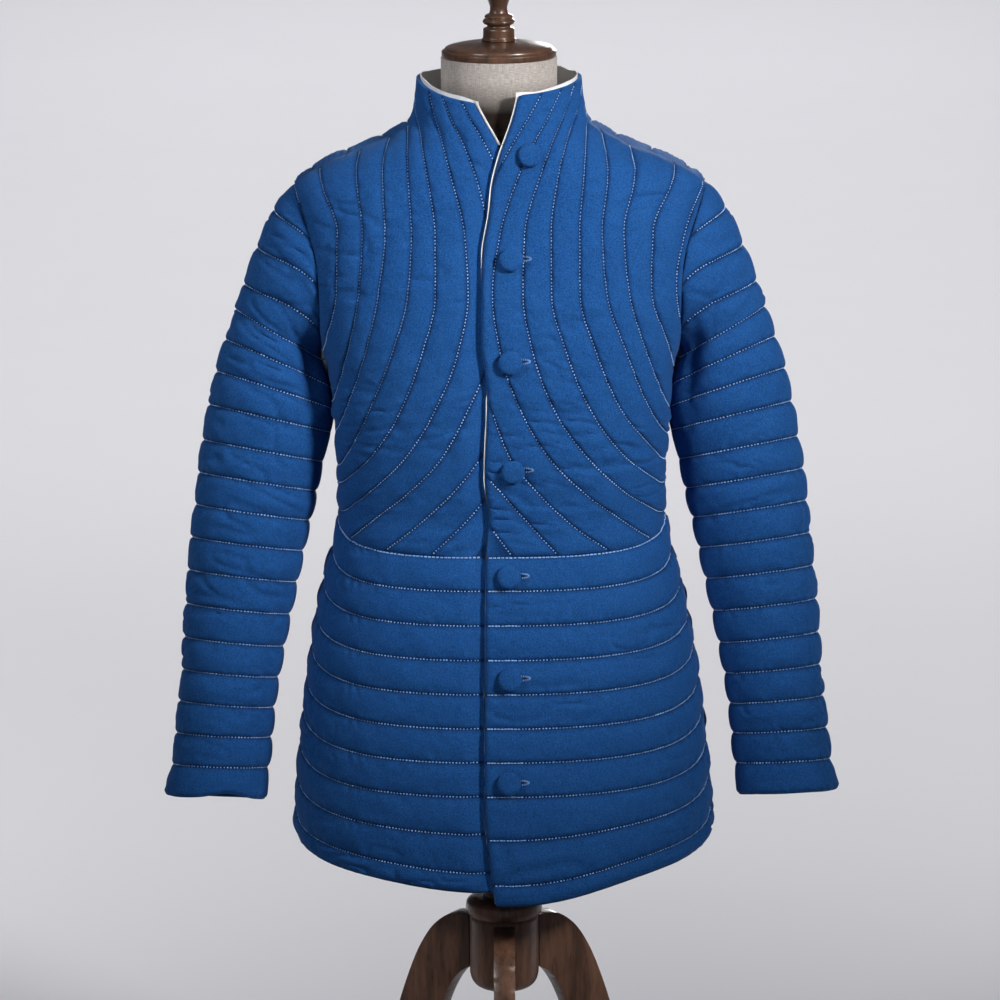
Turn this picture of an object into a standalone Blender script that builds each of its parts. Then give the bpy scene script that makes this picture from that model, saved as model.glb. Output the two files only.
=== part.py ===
"""Quilted gambeson, buttoned on a limbless dress form that stands on a turned tripod stand.

Metres, +Z up. The origin is on the floor, at the middle of the space that the whole object takes
up. The garment faces -Y, so the wearer's left side is at +X. All sizes are measured from the axis
of the stand. Every panel is a padded wall: its inside is plain, and its outside swells between
the lines of stitching.
"""
import math
from collections import namedtuple

import bmesh
import bpy
from mathutils import Vector
from mathutils.bvhtree import BVHTree

# ------------------------------------------------------------------ driving dimensions
AXIS_PLACE = Vector((0.00146, 0.05450, 0.0))  # where the axis of the stand meets the floor
WALL = 0.0040            # padded wall at a line of stitching
SEAM_GAP = 0.0003        # between two pieces sewn together
PUFF_CHEST = 0.0048      # rise of a channel above its stitching
PUFF_SKIRT = 0.0055
PUFF_SLEEVE = 0.0055
WAIST_Z = 0.867          # waist seam at the centre front
ROW_PITCH = 0.0349       # skirt rows and sleeve rows
SKIRT_ROWS = 9
HEM_Z = 0.534
COLLAR_TOP_Z = 1.347
SIDE_RISE = 0.020        # the waist and skirt rows climb towards the side seams
RISE_TOP_Z = 1.020       # where the climb begins, from the top down
RISE_FADE = 0.130
CORNER_DROP = {"left": 0.026, "right": 0.012}  # the front corners of the hem hang lower
CORNER_TOP_Z = 0.630
COLLAR_DROP = {"left": 0.010, "right": 0.018}  # the collar's front is cut lower than its sides
SLOPE_STEP = 0.002       # radians and metres over which a surface's slope is taken
ROW_SLOPE_STEP = 0.02    # the same on a sleeve, in radians and rows
UNDERLAP = 0.024         # how far the right front runs on beneath the left one
LAP_SHIFT = 0.0070       # how far it is pushed in there
LAP_END = 0.042          # beyond this distance from the left front's edge it lies free
LAP_FADE = 0.036
LAP_TOP_Z = 1.20         # above it the two fronts part
LAP_STEPS = {"left": (0.012, 0.024, 0.048), "right": (0.020, 0.049, 0.067, 0.085)}
LINING = 0.0010          # thickness of the lining
LINING_PEEP = 0.0011     # how far the lining shows past the edge
LINING_GAP = 0.0004
LINING_SIDE_GAP = 0.0012  # from the end of a collar lining to the side seam
LINING_END_GAP = 0.0005  # between the lining of an edge and the collar's
LINING_HEM_GAP = 0.0020  # from the end of the edge lining up from the hem

FORM_CLEARANCE = 0.0009  # between the dress form and the cloth on the shoulders
FORM_SLACK = 0.0060      # and lower down
FORM_BASE_Z = 0.690
NECK_RADIUS = 0.0600
NECK_TOP_Z = 1.368
NECK_BASE_Z = 1.290
FORM_COLUMNS = 20
FORM_ROWS_BELOW = 9
FORM_JOIN_Z = 1.1405     # above it the form has the rows of the upper body
WIDE_NECK_Z = 1.300      # the form's shoulders end here and its neck begins
TIGHT_Z = 1.100          # the form fills the garment from here up
TIGHT_FADE = 0.120
NeckRow = namedtuple("NeckRow", "z blend")
NECK_ROWS = [            # blend: 0 on the shoulders, 1 on the round neck
    NeckRow(1.302, 0.75), NeckRow(1.315, 0.97), NeckRow(1.335, 1.0), NeckRow(NECK_TOP_Z, 1.0),
]

BUTTON_RADIUS = 0.0122
BUTTON_HEIGHT = 0.0062
SHANK_RADIUS = 0.0045
SHANK_HEIGHT = 0.0015
BUTTON_RIM = 0.40        # share of the height at which the button is widest
BUTTON_EDGE = 0.0010     # height of its upright edge
BUTTON_UNDER = 0.88      # radius of its underside, as a share
BUTTON_BELLY = 0.0004    # fall of its underside towards the shank
BUTTON_SQUARENESS = 0.8  # below 1 the dome is flatter than a round one
SEAT_SPREAD = 1.1        # the cloth is probed this far out around a shank, in its radius
SEAT_PROBES = 12
SEAT_REACH = 0.05

# The padding thins out towards these borders, over the distance given.
WAIST_PINCH = 0.014
ARMHOLE_PINCH = 0.012
SIDE_PINCH = 0.034
EDGE_PINCH = 0.010
HEM_PINCH = 0.010
COLLAR_PINCH = 0.020
UNDERARM_Z = 1.045       # and where the sleeve presses against the side
UNDERARM_REACH = 0.030
SHOULDER_Z = 1.255       # between these two heights the armhole is the side of a panel
ARMHOLE_FADE = 0.020
SIDE_PRESS = 0.9         # share of the padding that the sleeve presses flat there
SIDE_PRESS_START = 0.86  # sine of the angle at which the press begins, and its fade
SIDE_PRESS_FADE = 0.12
EDGE_SHARE = 0.3         # share of the padding left at a front edge, a collar's top and the hem
COLLAR_SHARE = 0.35
HEM_SHARE = 0.4
CUFF_SHARE = 0.35
MARK_GAP = 0.006         # least distance between an end of a row and the next point of a channel

# Torso sections at the stitching: the superellipse of each level.
TorsoSection = namedtuple("TorsoSection", "z half_width front back power")
TORSO = [
    TorsoSection(0.500, 0.2225, 0.175, 0.173, 2.30),
    TorsoSection(0.566, 0.2180, 0.170, 0.168, 2.30),
    TorsoSection(0.634, 0.2120, 0.163, 0.160, 2.30),
    TorsoSection(0.710, 0.2035, 0.153, 0.148, 2.30),
    TorsoSection(0.780, 0.1925, 0.141, 0.133, 2.35),
    TorsoSection(0.823, 0.1830, 0.132, 0.120, 2.40),
    TorsoSection(0.867, 0.1715, 0.124, 0.109, 2.45),
    TorsoSection(0.900, 0.1695, 0.122, 0.106, 2.45),
    TorsoSection(0.950, 0.1705, 0.128, 0.111, 2.50),
    TorsoSection(1.000, 0.1750, 0.132, 0.118, 2.50),
    TorsoSection(1.050, 0.1815, 0.133, 0.124, 2.45),
    TorsoSection(1.100, 0.1970, 0.130, 0.126, 2.40),
    TorsoSection(1.150, 0.2115, 0.123, 0.123, 2.35),
    TorsoSection(1.200, 0.2180, 0.113, 0.115, 2.30),
    TorsoSection(1.236, 0.2120, 0.104, 0.107, 2.25),
    TorsoSection(1.259, 0.1790, 0.098, 0.101, 2.20),
    TorsoSection(1.274, 0.1420, 0.094, 0.097, 2.20),
    TorsoSection(1.288, 0.1125, 0.090, 0.093, 2.15),
    TorsoSection(1.302, 0.0925, 0.086, 0.089, 2.10),
    TorsoSection(1.320, 0.0878, 0.082, 0.086, 2.05),
    TorsoSection(1.352, 0.0850, 0.078, 0.083, 2.00),
]

# Lines of chest stitching: distance from the centre line at each height. Past the armhole or
# the side seam a line only says where its channel would run on.
LINE_HEIGHTS = (1.320, 1.260, 1.200, 1.140, 1.080, 1.020, 0.970, 0.930, 0.900, 0.867)
StitchLine = namedtuple("StitchLine", "collar shoulder chest_top chest bust rib low_rib above mid waist")
LINES_RIGHT = [
    StitchLine(0.150, 0.215, 0.199, 0.192, 0.203, 0.225, 0.247, 0.266, 0.281, 0.297),
    StitchLine(0.125, 0.185, 0.166, 0.167, 0.180, 0.200, 0.222, 0.240, 0.255, 0.270),
    StitchLine(0.108, 0.146, 0.140, 0.144, 0.155, 0.172, 0.195, 0.215, 0.230, 0.246),
    StitchLine(0.098, 0.119, 0.117, 0.124, 0.137, 0.156, 0.176, 0.196, 0.211, 0.226),
    StitchLine(0.094, 0.093, 0.090, 0.094, 0.110, 0.133, 0.155, 0.176, 0.192, 0.208),
    StitchLine(0.085, 0.074, 0.066, 0.066, 0.080, 0.102, 0.131, 0.164, 0.182, 0.198),
    StitchLine(0.066, 0.050, 0.036, 0.033, 0.044, 0.068, 0.098, 0.134, 0.162, 0.186),
    StitchLine(0.051, 0.025, 0.011, 0.004, 0.011, 0.035, 0.062, 0.098, 0.131, 0.163),
    StitchLine(0.032, 0.000, -0.018, -0.026, -0.022, -0.008, 0.022, 0.054, 0.084, 0.122),
    StitchLine(0.012, -0.026, -0.044, -0.054, -0.050, -0.036, -0.012, 0.014, 0.040, 0.073),
    StitchLine(-0.010, -0.052, -0.072, -0.084, -0.080, -0.064, -0.045, -0.024, -0.002, 0.026),
]
LINES_LEFT = [
    StitchLine(0.165, 0.250, 0.219, 0.205, 0.213, 0.228, 0.246, 0.264, 0.278, 0.298),
    StitchLine(0.140, 0.215, 0.191, 0.180, 0.190, 0.207, 0.227, 0.246, 0.261, 0.280),
    StitchLine(0.118, 0.180, 0.156, 0.154, 0.171, 0.188, 0.208, 0.228, 0.243, 0.262),
    StitchLine(0.103, 0.138, 0.126, 0.131, 0.147, 0.168, 0.190, 0.210, 0.225, 0.243),
    StitchLine(0.096, 0.110, 0.104, 0.108, 0.127, 0.149, 0.175, 0.196, 0.210, 0.228),
    StitchLine(0.090, 0.086, 0.081, 0.081, 0.097, 0.121, 0.155, 0.180, 0.196, 0.212),
    StitchLine(0.079, 0.060, 0.052, 0.052, 0.067, 0.091, 0.124, 0.162, 0.182, 0.199),
    StitchLine(0.067, 0.042, 0.025, 0.023, 0.033, 0.055, 0.088, 0.125, 0.159, 0.185),
    StitchLine(0.052, 0.020, 0.000, -0.008, 0.000, 0.021, 0.050, 0.087, 0.122, 0.161),
    StitchLine(0.032, -0.003, -0.026, -0.034, -0.029, -0.009, 0.010, 0.041, 0.070, 0.112),
    StitchLine(0.010, -0.028, -0.052, -0.060, -0.056, -0.045, -0.027, 0.004, 0.029, 0.058),
    StitchLine(-0.012, -0.054, -0.078, -0.086, -0.083, -0.078, -0.060, -0.033, -0.013, 0.011),
]
LINES_BACK = [
    StitchLine(0.150, 0.230, 0.208, 0.198, 0.207, 0.226, 0.247, 0.266, 0.281, 0.297),
    StitchLine(0.125, 0.196, 0.177, 0.172, 0.183, 0.202, 0.222, 0.240, 0.255, 0.270),
    StitchLine(0.110, 0.159, 0.148, 0.146, 0.157, 0.176, 0.198, 0.217, 0.232, 0.246),
    StitchLine(0.100, 0.127, 0.120, 0.122, 0.134, 0.154, 0.177, 0.197, 0.212, 0.226),
    StitchLine(0.092, 0.098, 0.094, 0.096, 0.109, 0.130, 0.154, 0.177, 0.193, 0.208),
    StitchLine(0.074, 0.072, 0.069, 0.071, 0.084, 0.105, 0.131, 0.160, 0.179, 0.195),
    StitchLine(0.050, 0.047, 0.045, 0.047, 0.058, 0.078, 0.105, 0.137, 0.163, 0.184),
    StitchLine(0.025, 0.024, 0.023, 0.024, 0.030, 0.046, 0.070, 0.103, 0.134, 0.164),
    StitchLine(0.000, 0.000, 0.000, 0.000, 0.000, 0.006, 0.026, 0.056, 0.086, 0.122),
    StitchLine(-0.025, -0.024, -0.023, -0.024, -0.030, -0.030, -0.018, 0.012, 0.040, 0.073),
    StitchLine(-0.050, -0.047, -0.045, -0.047, -0.058, -0.066, -0.056, -0.030, -0.006, 0.026),
]

# Front edges: x of the edge at each height.
EdgePoint = namedtuple("EdgePoint", "z x")
LEFT_EDGE = [
    EdgePoint(0.5050, -0.0075), EdgePoint(0.5420, -0.0122), EdgePoint(0.6220, -0.0185),
    EdgePoint(0.7630, -0.0170), EdgePoint(0.8670, -0.0153), EdgePoint(0.9135, -0.0122),
    EdgePoint(0.9510, -0.0156), EdgePoint(1.0350, -0.0126), EdgePoint(1.0950, -0.0188),
    EdgePoint(1.1800, -0.0166), EdgePoint(1.2241, -0.0092), EdgePoint(1.2488, -0.0066),
    EdgePoint(1.2755, 0.0005), EdgePoint(1.3180, 0.0158), EdgePoint(1.3520, 0.0240),
]
RIGHT_EDGE = [
    EdgePoint(0.5050, UNDERLAP), EdgePoint(0.8670, UNDERLAP), EdgePoint(1.1800, UNDERLAP),
    EdgePoint(1.2300, 0.0190), EdgePoint(1.2600, 0.0100), EdgePoint(1.2814, 0.0016),
    EdgePoint(1.3158, -0.0185), EdgePoint(1.3300, -0.0260), EdgePoint(1.3520, -0.0330),
]

# Armhole: an upright oval seen from the side, laid on the torso's surface.
ARMHOLE_Z = 1.1505
ARMHOLE_HALF_HEIGHT = 0.0855
ARMHOLE_FRONT = 0.068
ARMHOLE_BACK = 0.072
SLEEVE_COLUMNS = 16
SLEEVE_ROWS = 18
ROWS_BELOW = 9           # mesh rows of the upper body below the armhole
SHOULDER_LEVELS = (1.2480, 1.2590, 1.2700, 1.2800, 1.2900, 1.3020, 1.3180, 1.3340)
WAIST_STEPS = 24         # points along each quarter of the waist seam, so that its two sides match
FRONT_INSIDE_STEPS = 7   # across the plain inside of a front
BACK_INSIDE_STEPS = 10
FRONT_SKIRT_STEPS = 11
BACK_SKIRT_STEPS = 16
BACK_SKIRT_INSIDE_STEPS = 8
FIRST_FULL_ROW = 4.0     # above it, the sleeve's rows end at the armhole
UNDERARM_ROW = 3.55      # where the armhole's lowest point lies among the rows
SHOULDER_PULL = 0.75     # how far the sleeve head carries on along the shoulder

SleeveSection = namedtuple("SleeveSection", "row x y z half_width half_depth tilt pitch")
SLEEVE = [
    SleeveSection(4, 0.2300, 0.000, 1.0780, 0.0505, 0.0530, 32.0, 10.0),
    SleeveSection(5, 0.2305, -0.001, 1.0470, 0.0590, 0.0560, 25.5, 13.0),
    SleeveSection(6, 0.2345, -0.002, 1.0185, 0.0630, 0.0580, 18.8, 13.0),
    SleeveSection(7, 0.2405, -0.003, 0.9890, 0.0630, 0.0580, 13.7, 12.0),
    SleeveSection(8, 0.2485, -0.004, 0.9550, 0.0613, 0.0575, 11.0, 11.5),
    SleeveSection(10, 0.2612, -0.007, 0.8898, 0.0575, 0.0560, 8.5, 11.0),
    SleeveSection(12, 0.2724, -0.010, 0.8220, 0.0540, 0.0530, 7.0, 11.0),
    SleeveSection(14, 0.2826, -0.013, 0.7515, 0.0495, 0.0490, 6.0, 11.0),
    SleeveSection(16, 0.2911, -0.016, 0.6840, 0.0467, 0.0465, 4.5, 11.5),
    SleeveSection(18, 0.2990, -0.018, 0.6170, 0.0478, 0.0455, 2.2, 12.5),
    SleeveSection(19, 0.3050, -0.019, 0.5830, 0.0492, 0.0460, 2.6, 14.0),
]
ARM_GAP = 0.0030         # between the sleeve's stitching and the torso's, where they press together
ARM_GAP_SOFTNESS = 0.004
SEAM_OFFSET = 0.0005     # from the armhole's rim to the sleeve's
SHOULDER_SLOPE = 0.95    # fall of the sleeve head as it leaves the shoulder
ARRIVE_ROWS = 2.2        # rows over which the sleeve head turns into the tube
ARRIVE_STEP = 0.25       # rows over which the tube's own slope is taken
OUTWARD_ROWS = 0.5       # rows over which the wall turns from the armhole's rim to the sleeve's
FOLD_DEPTH = 0.17        # crease in front of the underarm
FOLD_TURN = 2.25
FOLD_SPREAD = 0.33
FOLD_ROW = 5.0
FOLD_ROWS = 1.9
TUCK_DEPTH = 0.013       # behind the underarm the sleeve leans in against the back
TUCK_TURN = -2.3
TUCK_SPREAD = 0.55
TUCK_ROW = 5.3
TUCK_ROWS = 1.6
PRESSED = 0.85           # share of the padding that is pressed flat against the torso
PRESSED_SPREAD = 0.75
PRESSED_END_ROW = 9.5
PRESSED_ROWS = 2.5
SLEEVE_SEAM_PINCH = 0.4  # in rows
CUFF_PINCH = 0.3
SLEEVE_INSIDE_ROWS = (0, 1, 2, 3, 4, 5, 7, 9, 12, 15, 18, SLEEVE_ROWS + 1)
SLEEVE_SHIFT = {"right": (0.000, -0.002), "left": (-0.003, 0.004)}  # x and z at the cuff

BUTTON_PLACES = [
    EdgePoint(1.2772, 0.0301), EdgePoint(1.1755, 0.0111), EdgePoint(1.0725, 0.0095),
    EdgePoint(0.9595, 0.0119), EdgePoint(0.8468, 0.0072), EdgePoint(0.7436, 0.0076),
    EdgePoint(0.6370, 0.0059),
]

# Turned wood: radius at each height, from the bottom up.
TurnedPoint = namedtuple("TurnedPoint", "z radius")
CAP = [
    TurnedPoint(1.3683, 0.0582), TurnedPoint(1.3690, 0.0590), TurnedPoint(1.3735, 0.0592),
    TurnedPoint(1.3752, 0.0578), TurnedPoint(1.3760, 0.0560), TurnedPoint(1.3775, 0.0555),
    TurnedPoint(1.3800, 0.0490), TurnedPoint(1.3822, 0.0380), TurnedPoint(1.3838, 0.0240),
    TurnedPoint(1.3842, 0.0160),
]
FINIAL = [
    TurnedPoint(1.3845, 0.0172), TurnedPoint(1.3860, 0.0178), TurnedPoint(1.3880, 0.0163),
    TurnedPoint(1.3970, 0.0160), TurnedPoint(1.3990, 0.0122), TurnedPoint(1.4005, 0.0120),
    TurnedPoint(1.4020, 0.0152), TurnedPoint(1.4045, 0.0166), TurnedPoint(1.4065, 0.0156),
    TurnedPoint(1.4078, 0.0140), TurnedPoint(1.4095, 0.0146), TurnedPoint(1.4115, 0.0130),
    TurnedPoint(1.4130, 0.0098), TurnedPoint(1.4176, 0.0088), TurnedPoint(1.4260, 0.0110),
    TurnedPoint(1.4370, 0.0165), TurnedPoint(1.4460, 0.0180),
    TurnedPoint(1.4550, 0.0160), TurnedPoint(1.4620, 0.0105), TurnedPoint(1.4650, 0.0045),
]
POLE = [
    TurnedPoint(0.4695, 0.0225), TurnedPoint(0.4800, 0.0190), TurnedPoint(0.4950, 0.0175),
    TurnedPoint(0.6860, 0.0175),
]
BASE_PLATE = [
    TurnedPoint(0.6863, 0.0880), TurnedPoint(0.6867, 0.0900), TurnedPoint(0.6893, 0.0900),
    TurnedPoint(0.6897, 0.0880),
]
STAND_RING = [
    TurnedPoint(0.4480, 0.0360), TurnedPoint(0.4500, 0.0392), TurnedPoint(0.4560, 0.0408),
    TurnedPoint(0.4620, 0.0402), TurnedPoint(0.4660, 0.0370), TurnedPoint(0.4692, 0.0300),
]
HUB = [
    TurnedPoint(0.3660, 0.0120), TurnedPoint(0.3672, 0.0220), TurnedPoint(0.3705, 0.0300),
    TurnedPoint(0.3770, 0.0350), TurnedPoint(0.3860, 0.0369), TurnedPoint(0.4440, 0.0369),
    TurnedPoint(0.4477, 0.0355),
]

# A leg seen from the side: reach from the stand's axis, and height.
LegPoint = namedtuple("LegPoint", "reach z")
LEG_TOP = [
    LegPoint(0.0372, 0.4440), LegPoint(0.0560, 0.4430), LegPoint(0.0780, 0.4300),
    LegPoint(0.0980, 0.4020), LegPoint(0.1130, 0.3680), LegPoint(0.1280, 0.3240),
    LegPoint(0.1480, 0.2500), LegPoint(0.1700, 0.1760), LegPoint(0.1960, 0.1080),
    LegPoint(0.2240, 0.0600), LegPoint(0.2540, 0.0340), LegPoint(0.2760, 0.0260),
    LegPoint(0.2840, 0.0150), LegPoint(0.2830, 0.0000),
]
LEG_UNDER = [
    LegPoint(0.0372, 0.3860), LegPoint(0.0500, 0.3780), LegPoint(0.0640, 0.3580),
    LegPoint(0.0760, 0.3300), LegPoint(0.0900, 0.2860), LegPoint(0.1100, 0.2200),
    LegPoint(0.1340, 0.1500), LegPoint(0.1640, 0.0860), LegPoint(0.1980, 0.0380),
    LegPoint(0.2260, 0.0120), LegPoint(0.2420, 0.0000),
]
LEG_WIDTH = 0.0225
LEG_BEVEL = 0.0035
LEG_JOINT_REACH = 0.038  # edges nearer the axis than this stay square against the hub
LEG_ANGLES = {"leg_front": -90.0, "leg_back_right": 150.0, "leg_back_left": 30.0}

BLUE = (0.016, 0.075, 0.285)
LINING_WHITE = (0.80, 0.78, 0.72)
LINEN = (0.40, 0.36, 0.31)
WALNUT = (0.060, 0.028, 0.016)


# ------------------------------------------------------------------ tables and curves
def smooth_value(xs, ys, x):
    """Value at x of a soft curve through the points, with no overshoot."""
    if x <= xs[0]:
        return ys[0] + (ys[1] - ys[0]) / (xs[1] - xs[0]) * (x - xs[0])
    if x >= xs[-1]:
        return ys[-1] + (ys[-1] - ys[-2]) / (xs[-1] - xs[-2]) * (x - xs[-1])
    place = 0
    while x > xs[place + 1]:
        place += 1
    steps = [(ys[i + 1] - ys[i]) / (xs[i + 1] - xs[i]) for i in range(len(xs) - 1)]

    def slope(i):
        if i == 0:
            return steps[0]
        if i == len(steps):
            return steps[-1]
        if steps[i - 1] * steps[i] <= 0.0:
            return 0.0
        return 2.0 * steps[i - 1] * steps[i] / (steps[i - 1] + steps[i])

    width = xs[place + 1] - xs[place]
    t = (x - xs[place]) / width
    start = ys[place] * (1 + 2 * t) * (1 - t) ** 2 + slope(place) * width * t * (1 - t) ** 2
    end = ys[place + 1] * t * t * (3 - 2 * t) - slope(place + 1) * width * t * t * (1 - t)
    return start + end


def column_value(rows, key, name, x):
    """One named column of a table at x, where `key` names the column that x belongs to."""
    return smooth_value([getattr(row, key) for row in rows], [getattr(row, name) for row in rows], x)


def ease(t):
    """0 to 1 with soft ends."""
    t = min(max(t, 0.0), 1.0)
    return t * t * (3 - 2 * t)


def arch(t):
    """Swell of a channel across its width, t from 0 to 1."""
    t = min(max(t, 0.0), 1.0)
    return (4 * t * (1 - t)) ** 0.6


# ------------------------------------------------------------------ torso surface
_sections = {}


def torso_section(z):
    key = round(z, 6)
    if key not in _sections:
        names = ("half_width", "front", "back", "power")
        _sections[key] = [column_value(TORSO, "z", name, z) for name in names]
    return _sections[key]


def torso_point(angle, z):
    """Angle 0 is the centre front, +90 degrees the left side and 180 the centre back."""
    half_width, front, back, power = torso_section(z)
    across = math.sin(angle)
    along = math.cos(angle)
    depth = front if along > 0 else back
    x = half_width * math.copysign(abs(across) ** (2 / power), across)
    y = -depth * math.copysign(abs(along) ** (2 / power), along)
    return Vector((x, y, z))


def angle_at_x(x, z, back=False):
    """Angle of the torso point at x, running on past the side when x lies beyond it."""
    half_width, _, _, power = torso_section(z)
    reach = abs(x) / half_width
    if reach < 1.0:
        angle = math.asin(reach ** (power / 2))
    else:
        angle = math.pi / 2 + (reach - 1.0)
    if back:
        return math.pi - math.copysign(angle, x)
    return math.copysign(angle, x)


def angle_at_y(y, z):
    """Angle on the left side where the torso has this y."""
    _, front, back, power = torso_section(z)
    depth = front if y < 0 else back
    part = (min(abs(y) / depth, 1.0)) ** (power / 2)
    return math.acos(part) if y < 0 else math.pi - math.acos(part)


def true_height(angle, level, side):
    """Height at an angle of the row that is named by its level on the front of the body."""
    rise = ease((RISE_TOP_Z - level) / RISE_FADE) * SIDE_RISE * (1 - abs(math.cos(angle))) ** 2
    facing = max(math.cos(angle), 0.0)
    low = ease((CORNER_TOP_Z - level) / (CORNER_TOP_Z - HEM_Z))
    high = ease((level - NECK_BASE_Z) / (COLLAR_TOP_Z - NECK_BASE_Z))
    fall = low * CORNER_DROP.get(side, 0.0) * facing ** 8
    drop = high * COLLAR_DROP.get(side, 0.0) * facing ** 1.5
    return level + rise - fall - drop


def shell_point(angle, level, out, side):
    """A point `out` beyond the stitching surface, on the row at `level`."""
    def place(a, v):
        return torso_point(a, true_height(a, v, side))
    across = place(angle + SLOPE_STEP, level) - place(angle - SLOPE_STEP, level)
    up = place(angle, level + SLOPE_STEP) - place(angle, level - SLOPE_STEP)
    normal = across.cross(up)
    normal.normalize()
    return place(angle, level) + normal * out


# ------------------------------------------------------------------ chest channels
def line_distance(lines, number, z):
    """Distance from the centre line of channel line `number`, which may be fractional."""
    low = min(int(math.floor(number)), len(lines) - 2)
    heights = LINE_HEIGHTS[::-1]
    near = smooth_value(heights, lines[low][::-1], z)
    far = smooth_value(heights, lines[low + 1][::-1], z)
    return near + (far - near) * (number - low)


def channel_at(lines, distance, z):
    """Channel number at this distance from the centre line."""
    heights = LINE_HEIGHTS[::-1]
    places = [smooth_value(heights, line[::-1], z) for line in lines]
    for number in range(len(places) - 1):
        if places[number] >= distance >= places[number + 1]:
            gap = places[number] - places[number + 1]
            return number + (places[number] - distance) / max(gap, 1e-6)
    return 0.0 if distance > places[0] else len(places) - 1.0


def armhole_y(z, front):
    """The armhole oval's y at this height, or None above and below the armhole."""
    part = (z - ARMHOLE_Z) / ARMHOLE_HALF_HEIGHT
    if abs(part) > 1.0 + 1e-6:
        return None
    swing = math.sqrt(max(0.0, 1.0 - part * part))
    return -ARMHOLE_FRONT * swing if front else ARMHOLE_BACK * swing


def side_angle(z, front):
    """Where a panel ends at its side: the side seam, the armhole or the shoulder seam."""
    seam_y = SEAM_GAP / 2
    y = armhole_y(z, front)
    if y is None or abs(y) < seam_y:
        y = -seam_y if front else seam_y
    return angle_at_y(y, z)


def pinch(distance, reach):
    """Padding thins out towards a seam."""
    t = min(max(distance / reach, 0.0), 1.0)
    return math.sqrt(1 - (1 - t) ** 2)


def part_left(share, t):
    """From `share` at a border, where t is 0, to the whole where t is 1."""
    return share + (1 - share) * t


def chest_puff(angle, level, z, number, edge_distance, side_distance):
    """How far a channel of the upper body stands out from its stitching."""
    swell = arch(number - math.floor(number)) * PUFF_CHEST
    swell *= pinch(level - WAIST_Z, WAIST_PINCH)
    at_armhole = ease((level - UNDERARM_Z) / ARMHOLE_FADE) * ease((SHOULDER_Z - level) / ARMHOLE_FADE)
    swell *= (pinch(side_distance, ARMHOLE_PINCH) * at_armhole
              + ease(side_distance / SIDE_PINCH) * (1 - at_armhole))
    swell *= part_left(EDGE_SHARE, pinch(edge_distance, EDGE_PINCH))
    swell *= part_left(COLLAR_SHARE, ease((COLLAR_TOP_Z - level) / COLLAR_PINCH))
    at_side = ease((abs(math.sin(angle)) - SIDE_PRESS_START) / SIDE_PRESS_FADE)
    underarm = at_side * math.exp(-((z - UNDERARM_Z) / UNDERARM_REACH) ** 2)
    return swell * (1 - SIDE_PRESS * underarm)


# ------------------------------------------------------------------ meshes
def material(name, colour, roughness):
    made = bpy.data.materials.get(name) or bpy.data.materials.new(name)
    made.use_nodes = True
    shader = made.node_tree.nodes["Principled BSDF"]
    shader.inputs["Base Color"].default_value = (*colour, 1.0)
    shader.inputs["Roughness"].default_value = roughness
    shader.inputs["Metallic"].default_value = 0.0
    return made


def add_object(name, points, faces, finish, crease=75.0):
    """One closed body, its faces turned outwards."""
    mesh = bpy.data.meshes.new(name)
    mesh.from_pydata([tuple(point) for point in points], [], faces)
    shaped = bmesh.new()
    shaped.from_mesh(mesh)
    bmesh.ops.recalc_face_normals(shaped, faces=shaped.faces)
    if shaped.calc_volume(signed=True) < 0:
        bmesh.ops.reverse_faces(shaped, faces=shaped.faces)
    shaped.to_mesh(mesh)
    shaped.free()
    mesh.shade_smooth()
    mesh.set_sharp_from_angle(angle=math.radians(crease))
    mesh.materials.append(finish)
    made = bpy.data.objects.new(name, mesh)
    made.location = AXIS_PLACE
    bpy.context.scene.collection.objects.link(made)
    return made


class Shell:
    """Collects points and triangles for a wall made of rows."""

    def __init__(self):
        self.points = []
        self.faces = []

    def row(self, keyed_points):
        """Adds a row of (key, point) and gives back (key, index)."""
        start = len(self.points)
        self.points.extend(point for _, point in keyed_points)
        return [(key, start + i) for i, (key, _) in enumerate(keyed_points)]

    def zip(self, first, second):
        """Triangles between two rows, stepping along whichever has the nearer next key."""
        i = 0
        j = 0
        while i < len(first) - 1 or j < len(second) - 1:
            take_first = j == len(second) - 1
            if not take_first and i < len(first) - 1:
                take_first = first[i + 1][0] <= second[j + 1][0]
            if take_first:
                corners = (first[i][1], first[i + 1][1], second[j][1])
                i += 1
            else:
                corners = (first[i][1], second[j + 1][1], second[j][1])
                j += 1
            if len(set(corners)) == 3:
                self.faces.append(corners)

    def stack(self, rows):
        for lower, upper in zip(rows, rows[1:]):
            self.zip(lower, upper)

    def rim(self, first, second):
        """Triangles between two borders, matched by how far along them each point lies."""
        borders = []
        for border in (first, second):
            run = [0.0]
            for (_, here), (_, after) in zip(border, border[1:]):
                run.append(run[-1] + (self.points[after] - self.points[here]).length)
            borders.append([(length / run[-1], index) for length, (_, index) in zip(run, border)])
        self.zip(*borders)

    def wall(self, outer, inner, closed=False):
        """Joins an outer and an inner stack of rows with rims along their borders."""
        self.stack(outer)
        self.stack(inner)
        for end in (0, -1):
            self.rim(outer[end], inner[end])
            if not closed:
                self.rim([row[end] for row in outer], [row[end] for row in inner])


def edge_x(side, z):
    rows = LEFT_EDGE if side == "left" else RIGHT_EDGE
    x = column_value(rows, "z", "x", z)
    return x if side == "left" else -x


def lap(side, angle, z):
    """0 where the right front lies free, 1 where it is beneath the left one."""
    if side != "right":
        return 0.0
    from_edge = torso_point(angle, z).x + column_value(LEFT_EDGE, "z", "x", z)
    return ease((LAP_END - from_edge) / LAP_FADE)


def settle(level, side, find_angle):
    """Angle at which a rule given in true heights meets the row at `level`."""
    z = level
    angle = 0.0
    for _ in range(4):
        angle = find_angle(z)
        z = true_height(angle, level, side)
    return angle


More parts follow.
